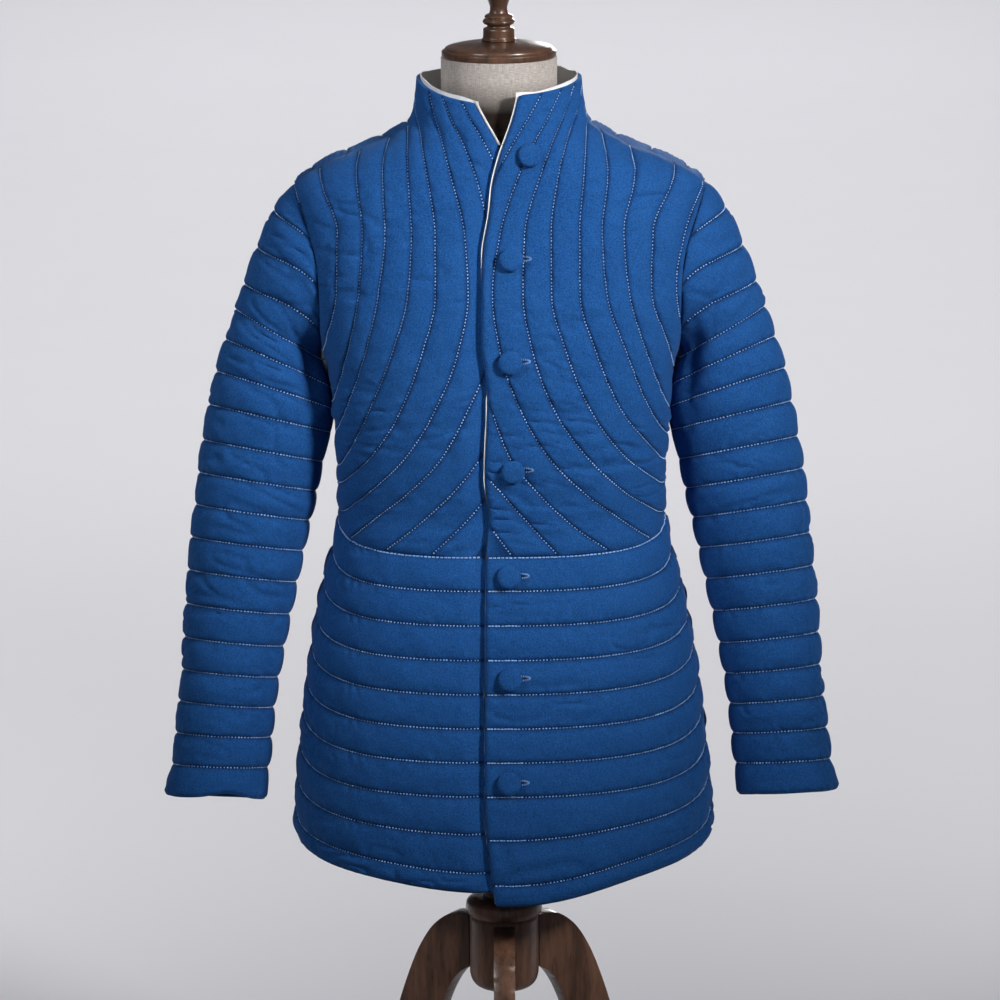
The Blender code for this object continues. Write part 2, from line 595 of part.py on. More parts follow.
def spread(start, end, steps):
    """Evenly spaced values from start to end."""
    return [start + (end - start) * step / steps for step in range(steps + 1)]


def panel_angles(side, start, end, steps, level):
    """Angles across a panel, closer together where the fronts lap and the lining runs."""
    close = LAP_STEPS.get(side, ())
    if side == "right" and level > LAP_TOP_Z:
        close = ()
    edge = torso_point(start, level).x
    near = [start] + [angle_at_x(edge + distance, level) for distance in close]
    return near[:-1] + spread(near[-1], end, steps - len(close))


def mirrored(point, side):
    return Vector((-point.x, point.y, point.z)) if side == "right" else point


def channel_marks(lines, fractions, side, level, start, end):
    """Row points on channel lines and between them, kept off the row's own ends."""
    back = side == "back"
    ends = [torso_point(angle, true_height(angle, level, side)) for angle in (start, end)]
    found = []
    for number in fractions:
        angle = settle(level, side, lambda z: angle_at_x(line_distance(lines, number, z), z, back))
        here = torso_point(angle, true_height(angle, level, side))
        if start < angle < end and min((here - point).length for point in ends) > MARK_GAP:
            found.append((angle, number))
    return found


def chest_levels():
    """Rows of the upper body: even ones up to the armhole, its own, then the shoulder's."""
    count = SLEEVE_COLUMNS // 2
    hole = [ARMHOLE_Z - ARMHOLE_HALF_HEIGHT * math.cos(math.pi * i / count) for i in range(count + 1)]
    below = [WAIST_Z + (hole[0] - WAIST_Z) * i / ROWS_BELOW for i in range(ROWS_BELOW)]
    below[0] += SEAM_GAP / 2
    return below + hole + list(SHOULDER_LEVELS) + [COLLAR_TOP_Z]


def front_upper(side, finish):
    """One front from the waist seam up to the top of its collar, quilted in long curves."""
    lines = LINES_LEFT if side == "left" else LINES_RIGHT
    thirds = [number / 3 for number in range(3 * len(lines) - 2)]
    levels = chest_levels()
    shell = Shell()
    outer = []
    inner = []
    for level in levels:
        start = settle(level, side, lambda z: angle_at_x(edge_x(side, z), z))
        end = settle(level, side, lambda z: side_angle(z, True))
        marks = [(start, None), (end, None)] + channel_marks(lines, thirds, side, level, start, end)
        plain_angles = panel_angles(side, start, end, FRONT_INSIDE_STEPS, level)
        if level is levels[0]:
            plain_angles = spread(start, end, WAIST_STEPS)
            marks = [(angle, None) for angle in plain_angles]
        marks.sort()
        row = []
        for angle, number in marks:
            z = true_height(angle, level, side)
            here = torso_point(angle, z)
            if number is None:
                number = channel_at(lines, here.x, z)
            edge_distance = here.x - edge_x(side, z)
            side_distance = (torso_point(end, z) - here).length
            under = lap(side, angle, z)
            puff = chest_puff(angle, level, z, number, edge_distance, side_distance)
            out = puff * (1 - under) - LAP_SHIFT * under
            row.append((-number, mirrored(shell_point(angle, level, out, side), side)))
        outer.append(shell.row(row))
        plain = []
        for angle in plain_angles:
            z = true_height(angle, level, side)
            out = -WALL - LAP_SHIFT * lap(side, angle, z)
            plain.append((angle, mirrored(shell_point(angle, level, out, side), side)))
        inner.append(shell.row(plain))
    shell.wall(outer, inner)
    return add_object("front_%s_upper" % side, shell.points, shell.faces, finish)


def back_upper(finish):
    """The back from the waist seam to the top of the collar, in one piece."""
    levels = chest_levels()
    halves = [number / 2 for number in range(2 * len(LINES_BACK) - 1)]
    shell = Shell()
    outer = []
    inner = []
    for level in levels:
        end = settle(level, "back", lambda z: side_angle(z, False))
        marks = [(end, None), (math.pi, None)]
        marks += channel_marks(LINES_BACK, halves, "back", level, end, math.pi)
        steps = BACK_INSIDE_STEPS
        if level is levels[0]:
            steps = 2 * WAIST_STEPS
            marks = [(angle, None) for angle in spread(end, math.pi, WAIST_STEPS)]
        marks.sort()
        points = []
        for angle, number in marks:
            z = true_height(angle, level, "back")
            here = torso_point(angle, z)
            if number is None:
                number = channel_at(LINES_BACK, here.x, z)
            side_distance = (torso_point(end, z) - here).length
            out = chest_puff(angle, level, z, number, 1.0, side_distance)
            points.append((number, shell_point(angle, level, out, "back")))
        twin = [(2 * len(LINES_BACK) - number, mirrored(point, "right"))
                for number, point in points[-2::-1]]
        row = points + twin
        outer.append(shell.row(row))
        plain = [(angle, shell_point(angle, level, -WALL, "back"))
                 for angle in spread(end, 2 * math.pi - end, steps)]
        inner.append(shell.row(plain))
    shell.wall(outer, inner)
    return add_object("back_upper", shell.points, shell.faces, finish)


# ------------------------------------------------------------------ skirt
def skirt_lines():
    return [WAIST_Z - ROW_PITCH * row for row in range(SKIRT_ROWS + 1)] + [HEM_Z]


def skirt_levels():
    """Levels from the hem up, three steps to a row, with the channel's swell at each."""
    lines = skirt_lines()
    found = []
    for upper, lower in zip(lines, lines[1:]):
        for step in range(3):
            found.append((upper + (lower - upper) * step / 3, arch(step / 3)))
    found.append((lines[-1], 0.0))
    found[0] = (found[0][0] - SEAM_GAP / 2, 0.0)
    return found[::-1]


def skirt_panel(name, side, start_rule, end_rule, columns, inside_columns, finish):
    """A panel of the skirt, quilted in level rows."""
    shell = Shell()
    levels = skirt_levels()
    outer = []
    inner = []
    for place, (level, swell) in enumerate(levels):
        start = start_rule(level)
        end = end_rule(level)
        hem = part_left(HEM_SHARE, pinch(level - HEM_Z, HEM_PINCH))
        row = []
        plain = []
        steps = columns
        if place == len(levels) - 1:
            steps = WAIST_STEPS * (2 if side == "back" else 1)
        for angle in panel_angles(side, start, end, steps, level):
            z = true_height(angle, level, side)
            here = torso_point(angle, z)
            near = min((torso_point(start, z) - here).length, (torso_point(end, z) - here).length)
            under = lap(side, angle, z)
            out = PUFF_SKIRT * swell * hem * part_left(EDGE_SHARE, pinch(near, EDGE_PINCH)) * (1 - under)
            out -= LAP_SHIFT * under
            row.append((angle, mirrored(shell_point(angle, level, out, side), side)))
        if place % 3 == 0:
            if steps == columns:
                steps = inside_columns
            for angle in panel_angles(side, start, end, steps, level):
                out = -WALL - LAP_SHIFT * lap(side, angle, true_height(angle, level, side))
                plain.append((angle, mirrored(shell_point(angle, level, out, side), side)))
        outer.append(shell.row(row))
        if plain:
            inner.append(shell.row(plain))
    shell.wall(outer, inner)
    return add_object(name, shell.points, shell.faces, finish)


def front_skirt(side, finish):
    def start(level):
        return settle(level, side, lambda z: angle_at_x(edge_x(side, z), z))

    def end(level):
        return settle(level, side, lambda z: angle_at_y(-SEAM_GAP / 2, z))
    return skirt_panel("front_%s_skirt" % side, side, start, end,
                       FRONT_SKIRT_STEPS, FRONT_INSIDE_STEPS, finish)


def back_skirt(finish):
    def start(level):
        return settle(level, "back", lambda z: angle_at_y(SEAM_GAP / 2, z))

    def end(level):
        return 2 * math.pi - start(level)
    return skirt_panel("back_skirt", "back", start, end,
                       BACK_SKIRT_STEPS, BACK_SKIRT_INSIDE_STEPS, finish)


# ------------------------------------------------------------------ sleeves
def seam_row(turn):
    """Row number at which the armhole cuts the sleeve; turn 0 is the shoulder tip."""
    return UNDERARM_ROW * (1 - math.cos(turn)) / 2


def armhole_point(turn):
    """Point of the armhole on the torso's surface, left side."""
    z = ARMHOLE_Z + ARMHOLE_HALF_HEIGHT * math.cos(turn)
    y = -ARMHOLE_FRONT * math.sin(turn) if math.sin(turn) > 0 else -ARMHOLE_BACK * math.sin(turn)
    if abs(y) < SEAM_GAP / 2:
        y = 0.0
    return torso_point(angle_at_y(min(y, -1e-7) if math.sin(turn) >= 0 else y, z), z)


def clear_of_torso(point):
    """Moves a sleeve point outwards where it would press into the torso's side."""
    half_width, front, back, power = torso_section(point.z)
    depth = front if point.y < 0 else back
    part = min(abs(point.y) / depth, 1.0)
    nearest = half_width * (1 - part ** power) ** (1 / power) + ARM_GAP
    over = (point.x - nearest) / ARM_GAP_SOFTNESS
    if over < 8.0:
        point.x = nearest + ARM_GAP_SOFTNESS * math.log1p(math.exp(over))
    return point


def sleeve_ring(turn, row, side):
    """Point of the sleeve's tube at a row number from the first full row down."""
    names = ("x", "y", "z", "half_width", "half_depth", "tilt", "pitch")
    found = [column_value(SLEEVE, "row", name, row) for name in names]
    x, y, z, half_width, half_depth, tilt, pitch = found
    shift_x, shift_z = SLEEVE_SHIFT[side]
    along = max(row - FIRST_FULL_ROW, 0.0) / (SLEEVE_ROWS + 1 - FIRST_FULL_ROW)
    crease = ((turn - FOLD_TURN) / FOLD_SPREAD) ** 2 + ((row - FOLD_ROW) / FOLD_ROWS) ** 2
    fold = FOLD_DEPTH * math.exp(-crease)
    behind = ((turn - TUCK_TURN) / TUCK_SPREAD) ** 2 + ((row - TUCK_ROW) / TUCK_ROWS) ** 2
    tuck = TUCK_DEPTH * math.exp(-behind)
    lean = math.radians(tilt)
    nod = math.radians(pitch)
    across = math.cos(turn) * half_width * (1 - fold)
    ahead = math.sin(turn) * half_depth * (1 - fold)
    return clear_of_torso(Vector((
        x + shift_x * along + across * math.cos(lean) - tuck,
        y - ahead * math.cos(nod),
        z + shift_z * along + across * math.sin(lean) + ahead * math.sin(nod),
    )))


def sleeve_point(turn, row, side):
    """Stitching surface of the left sleeve, from the armhole to the cuff."""
    if row >= FIRST_FULL_ROW:
        return sleeve_ring(turn, row, side)
    first = seam_row(turn)
    t = min(max((row - first) / (FIRST_FULL_ROW - first), 0.0), 1.0)
    start = armhole_point(turn) + Vector((SEAM_OFFSET, 0.0, 0.0))
    finish = sleeve_ring(turn, FIRST_FULL_ROW, side)
    length = (finish - start).length
    upper = (1 + math.cos(turn)) / 2
    leave = Vector((1.0, 0.0, -SHOULDER_SLOPE * upper)).normalized() * length * SHOULDER_PULL
    after = sleeve_ring(turn, FIRST_FULL_ROW + ARRIVE_STEP, side)
    arrive = (after - finish) / ARRIVE_STEP
    arrive *= min(FIRST_FULL_ROW - first, ARRIVE_ROWS)
    return (start * (1 + 2 * t) * (1 - t) ** 2 + leave * t * (1 - t) ** 2
            + finish * t * t * (3 - 2 * t) - arrive * t * t * (1 - t))


def sleeve_normal(turn, row, side):
    step = ROW_SLOPE_STEP
    around = sleeve_point(turn + step, row, side) - sleeve_point(turn - step, row, side)
    low = max(row - step, seam_row(turn))
    down = sleeve_point(turn, low + 2 * step, side) - sleeve_point(turn, low, side)
    return around.cross(down).normalized()


def sleeve_outward(turn, row, side):
    """Outward direction: towards the rim of the armhole at the seam, square to the cloth below."""
    rim = Vector((0.0, -math.sin(turn), math.cos(turn)))
    blend = ease((row - seam_row(turn)) / OUTWARD_ROWS)
    return rim.lerp(sleeve_normal(turn, row, side), blend).normalized()


def sleeve_rows():
    """Row numbers from the armhole down, three steps to a row, with the swell at each."""
    found = []
    for row in range(SLEEVE_ROWS + 1):
        for step in range(3):
            found.append((row + step / 3, arch(step / 3)))
    found.append((SLEEVE_ROWS + 1.0, 0.0))
    return found


def sleeve_rise(turn, row, swell):
    """How far a sleeve row stands out from its stitching."""
    inward = math.exp(-((abs(turn) - math.pi) / PRESSED_SPREAD) ** 2)
    press = 1 - PRESSED * inward * ease((PRESSED_END_ROW - row) / PRESSED_ROWS)
    rise = PUFF_SLEEVE * swell * press * pinch(row - seam_row(turn), SLEEVE_SEAM_PINCH)
    return rise * part_left(CUFF_SHARE, ease((SLEEVE_ROWS + 1 - row) / CUFF_PINCH))


def sleeve(side, finish):
    """A padded tube, quilted in rings, sewn into the armhole."""
    turns = [2 * math.pi * column / SLEEVE_COLUMNS for column in range(SLEEVE_COLUMNS)]
    turns = [turn if turn <= math.pi else turn - 2 * math.pi for turn in turns]
    shell = Shell()

    def ring(row, swell, out, known):
        found = []
        for column, turn in enumerate(turns):
            at = max(row, seam_row(turn))
            if at > row and column in known:
                found.append((column, known[column]))
                continue
            offset = sleeve_rise(turn, at, swell) if out else -WALL
            point = sleeve_point(turn, at, side) + sleeve_outward(turn, at, side) * offset
            index = len(shell.points)
            shell.points.append(mirrored(point, side))
            found.append((column, index))
            if at > row:
                known[column] = index
        found.append((SLEEVE_COLUMNS, found[0][1]))
        return found

    rows = sleeve_rows()
    outer_seam = {}
    inner_seam = {}
    outer = [ring(row, swell, True, outer_seam) for row, swell in rows]
    inner = [ring(row, 0.0, False, inner_seam) for row in SLEEVE_INSIDE_ROWS]
    shell.wall(outer, inner, closed=True)
    return add_object("sleeve_%s" % side, shell.points, shell.faces, finish)


# ------------------------------------------------------------------ lining, where it shows
def lining_strip(name, side, levels, angles_at, finish, top_peep=0.0):
    """A strip of lining that follows the inside of a panel and shows past its edge."""
    shell = Shell()
    outer = []
    inner = []
    for level in levels:
        rows = ([], [])
        for angle in angles_at(level):
            z = true_height(angle, level, side)
            face = -WALL - LINING_GAP - LAP_SHIFT * lap(side, angle, z)
            for row, out in zip(rows, (face, face - LINING)):
                row.append((angle, mirrored(shell_point(angle, level, out, side), side)))
        outer.append(shell.row(rows[0]))
        inner.append(shell.row(rows[1]))
    for _, index in outer[-1] + inner[-1]:
        shell.points[index].z += top_peep
    shell.wall(outer, inner)
    return add_object(name, shell.points, shell.faces, finish, crease=30.0)


def lining_angles(side, level, count=None):
    """The panel's own inner angles, but reaching past its front edge."""
    start = settle(level, side, lambda z: angle_at_x(edge_x(side, z), z))
    past = settle(level, side, lambda z: angle_at_x(edge_x(side, z) - LINING_PEEP, z))
    end = settle(level, side, lambda z: angle_at_y(-LINING_SIDE_GAP, z))
    return ([past] + panel_angles(side, start, end, FRONT_INSIDE_STEPS, level)[1:])[:count]


def linings(finish):
    """Lining inside the collar and along the front edges."""
    collar = [level for level in chest_levels() if level >= NECK_BASE_Z]
    for side in ("right", "left"):
        lining_strip("lining_collar_%s" % side, side, collar,
                     lambda level: lining_angles(side, level), finish, LINING_PEEP)

    def back_angles(level):
        start = angle_at_y(LINING_SIDE_GAP, level)
        return spread(start, 2 * math.pi - start, BACK_INSIDE_STEPS)
    lining_strip("lining_collar_back", "back", collar, back_angles, finish, LINING_PEEP)
    chest = [level for level in chest_levels() if level < collar[0]] + [collar[0] - LINING_END_GAP]
    skirt = [level for level, _ in skirt_levels()[::3]]
    skirt[0] += LINING_HEM_GAP
    for name, levels in (("upper", chest), ("skirt", skirt)):
        lining_strip("lining_edge_%s" % name, "left", levels,
                     lambda level: lining_angles("left", level, 3), finish)


# ------------------------------------------------------------------ buttons
def turned(name, profile, finish, segments, crease=50.0):
    """A turned piece on the vertical axis through the origin."""
    points = [Vector((0.0, 0.0, profile[0].z))]
    for spot in profile:
        for step in range(segments):
            turn = 2 * math.pi * step / segments
            points.append(Vector((spot.radius * math.cos(turn), spot.radius * math.sin(turn), spot.z)))
    points.append(Vector((0.0, 0.0, profile[-1].z)))
    faces = []
    for step in range(segments):
        after = (step + 1) % segments
        faces.append((0, 1 + after, 1 + step))
        for ring in range(len(profile) - 1):
            low = 1 + ring * segments
            high = low + segments
            faces.append((low + step, low + after, high + after, high + step))
        top = 1 + (len(profile) - 1) * segments
        faces.append((top + step, top + after, len(points) - 1))
    return add_object(name, points, faces, finish, crease)


def button_profile():
    """Shank, then a cloth-covered dome."""
    rim = SHANK_HEIGHT + BUTTON_HEIGHT * BUTTON_RIM
    spots = [TurnedPoint(0.0, SHANK_RADIUS), TurnedPoint(SHANK_HEIGHT, SHANK_RADIUS),
             TurnedPoint(SHANK_HEIGHT + BUTTON_BELLY, BUTTON_RADIUS * BUTTON_UNDER),
             TurnedPoint(rim - BUTTON_EDGE, BUTTON_RADIUS)]
    for degrees in (25, 60):
        lift = math.sin(math.radians(degrees))
        spots.append(TurnedPoint(rim + (SHANK_HEIGHT + BUTTON_HEIGHT - rim) * lift,
                                 BUTTON_RADIUS * math.cos(math.radians(degrees)) ** BUTTON_SQUARENESS))
    return spots


def seat_height(cloth, foot, outward):
    """How far the cloth stands out beneath a button's shank."""
    side_step = outward.cross(Vector((0, 0, 1))).normalized()
    up_step = side_step.cross(outward).normalized()
    highest = -SEAT_REACH
    for step in range(SEAT_PROBES + 1):
        turn = 2 * math.pi * step / SEAT_PROBES
        radius = SHANK_RADIUS * (SEAT_SPREAD if step < SEAT_PROBES else 0.0)
        offset = side_step * math.cos(turn) * radius + up_step * math.sin(turn) * radius
        hit = cloth.ray_cast(foot + offset + outward * SEAT_REACH, -outward)[0]
        if hit is not None:
            highest = max(highest, (hit - foot).dot(outward))
    return highest


def buttons(upper, skirt, finish):
    """Seven covered buttons, each standing on the left front over its buttonhole."""
    for number, place in enumerate(BUTTON_PLACES, start=1):
        panel = upper if place.z > WAIST_Z else skirt
        cloth = BVHTree.FromPolygons([vertex.co for vertex in panel.data.vertices],
                                     [tuple(face.vertices) for face in panel.data.polygons])
        angle = angle_at_x(place.x, place.z)
        foot = shell_point(angle, place.z, 0.0, "left")
        outward = (shell_point(angle, place.z, 0.01, "left") - foot).normalized()
        lift = seat_height(cloth, foot, outward) + SEAM_GAP
        made = turned("button_%d" % number, button_profile(), finish, segments=10)
        made.rotation_euler = outward.to_track_quat("Z", "Y").to_euler()
        made.location = AXIS_PLACE + foot + outward * lift


# ------------------------------------------------------------------ dress form and stand
def form_body(finish):
    """Smooth limbless torso, from its neck down to its flat base."""
    shell = Shell()
    rows = []
    step = (ARMHOLE_Z - FORM_BASE_Z) / FORM_ROWS_BELOW
    levels = [FORM_BASE_Z + step * place for place in range(FORM_ROWS_BELOW)]
    levels += [level for level in chest_levels() if FORM_JOIN_Z < level < NECK_ROWS[0].z]
    close_inset = WALL + LINING + LINING_GAP + FORM_CLEARANCE
    for level in levels:
        row = []
        tight = ease((level - TIGHT_Z) / TIGHT_FADE)
        inset = close_inset + (LAP_SHIFT + FORM_SLACK - FORM_CLEARANCE) * (1 - tight)
        for column in range(FORM_COLUMNS):
            angle = 2 * math.pi * column / FORM_COLUMNS
            front = LAP_SHIFT * max(math.cos(angle), 0.0) ** 6 * tight
            row.append((column, shell_point(angle, level, -inset - front, "form")))
        rows.append(shell.row(row))
    for z, blend in NECK_ROWS:
        row = []
        for column in range(FORM_COLUMNS):
            angle = 2 * math.pi * column / FORM_COLUMNS
            neck = Vector((NECK_RADIUS * math.sin(angle), -NECK_RADIUS * math.cos(angle), z))
            wide = shell_point(angle, min(z, WIDE_NECK_Z), -close_inset, "form")
            point = wide.lerp(neck, blend)
            point.z = z
            row.append((column, point))
        rows.append(shell.row(row))
    rows = [row + [(FORM_COLUMNS, row[0][1])] for row in rows]
    shell.stack(rows)
    for row, height in ((rows[0], FORM_BASE_Z), (rows[-1], NECK_TOP_Z)):
        middle = len(shell.points)
        shell.points.append(Vector((0.0, 0.0, height)))
        for (_, here), (_, after) in zip(row, row[1:]):
            shell.faces.append((here, after, middle))
        for _, index in row:
            shell.points[index].z = height
    return add_object("form_body", shell.points, shell.faces, finish)


def leg(name, degrees, finish):
    """A curved leg, cut from one board, with rounded edges and a flat foot."""
    outline = LEG_TOP + LEG_UNDER[::-1]
    shaped = bmesh.new()
    board = [shaped.verts.new((spot.reach, -LEG_WIDTH / 2, spot.z)) for spot in outline]
    face = shaped.faces.new(board)
    grown = bmesh.ops.extrude_face_region(shaped, geom=[face])
    moved = [item for item in grown["geom"] if isinstance(item, bmesh.types.BMVert)]
    bmesh.ops.translate(shaped, verts=moved, vec=(0.0, LEG_WIDTH, 0.0))
    long_edges = [edge for edge in shaped.edges
                  if abs(edge.verts[0].co.y - edge.verts[1].co.y) < 1e-6
                  and min(vert.co.x for vert in edge.verts) > LEG_JOINT_REACH
                  and max(vert.co.z for vert in edge.verts) > 0.001]
    bmesh.ops.bevel(shaped, geom=long_edges, offset=LEG_BEVEL, segments=1, profile=0.5,
                    affect="EDGES", clamp_overlap=True)
    bmesh.ops.triangulate(shaped, faces=shaped.faces)
    mesh = bpy.data.meshes.new(name)
    shaped.to_mesh(mesh)
    shaped.free()
    points = [vertex.co.copy() for vertex in mesh.vertices]
    faces = [tuple(polygon.vertices) for polygon in mesh.polygons]
    bpy.data.meshes.remove(mesh)
    made = add_object(name, points, faces, finish, 35.0)
    made.rotation_euler = (0.0, 0.0, math.radians(degrees))


def main():
    for item in list(bpy.data.objects):
        bpy.data.objects.remove(item, do_unlink=True)
    cloth = material("blue_quilted_cloth", BLUE, 0.85)
    lining = material("natural_lining", LINING_WHITE, 0.85)
    linen = material("form_linen", LINEN, 0.80)
    wood = material("dark_walnut", WALNUT, 0.40)
    front_upper("right", cloth)
    left_upper = front_upper("left", cloth)
    back_upper(cloth)
    front_skirt("right", cloth)
    left_skirt = front_skirt("left", cloth)
    back_skirt(cloth)
    sleeve("right", cloth)
    sleeve("left", cloth)
    linings(lining)
    buttons(left_upper, left_skirt, cloth)
    form_body(linen)
    turned("neck_cap", CAP, wood, segments=20)
    turned("finial", FINIAL, wood, segments=14)
    turned("base_plate", BASE_PLATE, wood, segments=24)
    turned("pole", POLE, wood, segments=16)
    turned("stand_ring", STAND_RING, wood, segments=24)
    turned("hub", HUB, wood, segments=20)
    for name, degrees in LEG_ANGLES.items():
        leg(name, degrees, wood)


main()
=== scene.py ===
"""Looks of the quilted gambeson on its dress form: quilted cloth, stitching, lining, linen and wood.

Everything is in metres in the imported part's frame. Sizes are measured from the axis of the stand,
as in the solids, and each piece is then placed at AXIS_PLACE.
"""
import math
from collections import namedtuple

import bmesh
import bpy
import numpy as np
from mathutils import Matrix, Vector
from mathutils.bvhtree import BVHTree


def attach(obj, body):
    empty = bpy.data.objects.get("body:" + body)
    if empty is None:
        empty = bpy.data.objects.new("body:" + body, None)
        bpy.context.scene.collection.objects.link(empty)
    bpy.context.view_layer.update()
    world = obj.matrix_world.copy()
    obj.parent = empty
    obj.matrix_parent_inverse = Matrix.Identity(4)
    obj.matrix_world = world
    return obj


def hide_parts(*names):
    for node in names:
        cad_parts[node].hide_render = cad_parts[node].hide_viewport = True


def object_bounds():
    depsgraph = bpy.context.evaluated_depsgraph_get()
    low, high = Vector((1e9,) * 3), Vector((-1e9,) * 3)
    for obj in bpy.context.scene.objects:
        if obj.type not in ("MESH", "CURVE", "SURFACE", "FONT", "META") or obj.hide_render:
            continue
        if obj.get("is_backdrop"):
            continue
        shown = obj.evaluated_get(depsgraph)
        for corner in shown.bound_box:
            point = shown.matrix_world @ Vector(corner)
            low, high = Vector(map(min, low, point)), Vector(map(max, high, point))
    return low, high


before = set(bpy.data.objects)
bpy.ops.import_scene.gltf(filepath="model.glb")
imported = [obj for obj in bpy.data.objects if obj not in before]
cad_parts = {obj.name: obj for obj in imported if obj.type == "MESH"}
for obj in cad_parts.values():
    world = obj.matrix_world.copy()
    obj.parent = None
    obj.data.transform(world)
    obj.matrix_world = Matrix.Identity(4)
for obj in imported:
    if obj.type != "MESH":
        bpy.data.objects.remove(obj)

CAD_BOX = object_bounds()
AXIS_PLACE = Vector((0.00146, 0.05450, 0.0))

# ------------------------------------------------------------------ sizes of the garment
WALL = 0.0040            # padded wall at a line of stitching
SEAM_GAP = 0.0003
PUFF_CHEST = 0.0048      # rise of a channel above its stitching
PUFF_LOWER = 0.0055      # the same on the skirt and sleeves
WAIST_Z = 0.867
ROW_PITCH = 0.0349       # skirt rows and sleeve rows
SKIRT_ROWS = 9
HEM_Z = 0.534
NECK_BASE_Z = 1.290
COLLAR_TOP_Z = 1.347
SIDE_RISE = 0.020        # rows climb this much towards the sides
RISE_TOP_Z, RISE_FADE = 1.020, 0.130
CORNER_TOP_Z = 0.630
CORNER_DROP = {"left": 0.026, "right": 0.012}
COLLAR_DROP = {"left": 0.010, "right": 0.018}
UNDERLAP = 24.0          # millimetres of the right front beneath the left one
LAP_END, LAP_FADE = 0.0260, 0.0245
LAP_DEPTH = 0.0060       # how deep the right front lies beneath the left one
LAP_STITCHED = 0.90      # stitching runs on this far into the lap
EDGE_CRISP = 0.003       # the left front keeps its height to this near its edge
EDGE_SHARE = {"left": 0.55, "right": 0.3, "back": 0.3}
LINING, LINING_GAP, LINING_SIDE_GAP = 0.0010, 0.0004, 0.0012
LINING_PEEP = 0.0042
WRAP_WIDTH, WRAP_LIFT = 0.0032, 0.0050       # the lining's border that wraps round a front edge
EDGE_LINING = 0.024      # width of the lining inside the left front edge
WAIST_PINCH, WAIST_ROLL, HEM_PINCH, COLLAR_PINCH = 0.014, 0.006, 0.010, 0.020
ARMHOLE_PINCH, ARMHOLE_FLAT, SIDE_PINCH, EDGE_PINCH = 0.006, 0.030, 0.034, 0.010
UNDERARM_Z, UNDERARM_REACH, SHOULDER_Z = 1.045, 0.030, 1.255
ARMHOLE_Z, ARMHOLE_HALF_HEIGHT, ARMHOLE_FRONT, ARMHOLE_BACK = 1.1505, 0.0855, 0.068, 0.072


def table(columns, *rows, scale=0.001):
    """Rows with named columns; a scale of 0.001 turns millimetres into metres."""
    kind = namedtuple("Row", columns)
    return [kind(*(value * scale for value in row)) for row in rows]


EDGE_PEEPS = table("z peep",         # how far the lining shows past the left front's edge
                   (530, 1.4), (600, 2.0), (650, 1.2), (720, 1.9), (770, 1.2), (850, 1.6), (905, 1.7),
                   (955, 2.7), (1030, 2.7), (1048, 1.0), (1130, 0.8), (1155, 2.0), (1200, 2.8),
                   (1350, 3.4))
LEFT_EDGE = table("z x", (505, -7.5), (542, -12.2), (622, -18.5), (763, -17.0), (867, -15.3),
                  (913.5, -12.2), (951, -15.6), (1035, -12.6), (1095, -18.8), (1180, -16.6),
                  (1224.1, -9.2), (1248.8, -6.6), (1275.5, 0.5), (1318, 15.8), (1352, 24.0))
RIGHT_EDGE = table("z x", (505, UNDERLAP), (867, UNDERLAP), (1180, UNDERLAP), (1230, 19.0), (1260, 10.0),
                   (1281.4, 1.6), (1315.8, -18.5), (1330, -26.0), (1352, -33.0))
TORSO = table("z half_width front back power",
              (0.500, 0.2225, 0.175, 0.173, 2.30), (0.566, 0.2180, 0.170, 0.168, 2.30),
              (0.634, 0.2120, 0.163, 0.160, 2.30), (0.710, 0.2035, 0.153, 0.148, 2.30),
              (0.780, 0.1925, 0.141, 0.133, 2.35), (0.823, 0.1830, 0.132, 0.120, 2.40),
              (0.867, 0.1715, 0.124, 0.109, 2.45), (0.900, 0.1695, 0.122, 0.106, 2.45),
              (0.950, 0.1705, 0.128, 0.111, 2.50), (1.000, 0.1750, 0.132, 0.118, 2.50),
              (1.050, 0.1815, 0.133, 0.124, 2.45), (1.100, 0.1970, 0.130, 0.126, 2.40),
              (1.150, 0.2115, 0.123, 0.123, 2.35), (1.200, 0.2180, 0.113, 0.115, 2.30),
              (1.236, 0.2120, 0.104, 0.107, 2.25), (1.259, 0.1790, 0.098, 0.101, 2.20),
              (1.274, 0.1420, 0.094, 0.097, 2.20), (1.288, 0.1125, 0.090, 0.093, 2.15),
              (1.302, 0.0925, 0.086, 0.089, 2.10), (1.320, 0.0878, 0.082, 0.086, 2.05),
              (1.352, 0.0850, 0.078, 0.083, 2.00), scale=1)

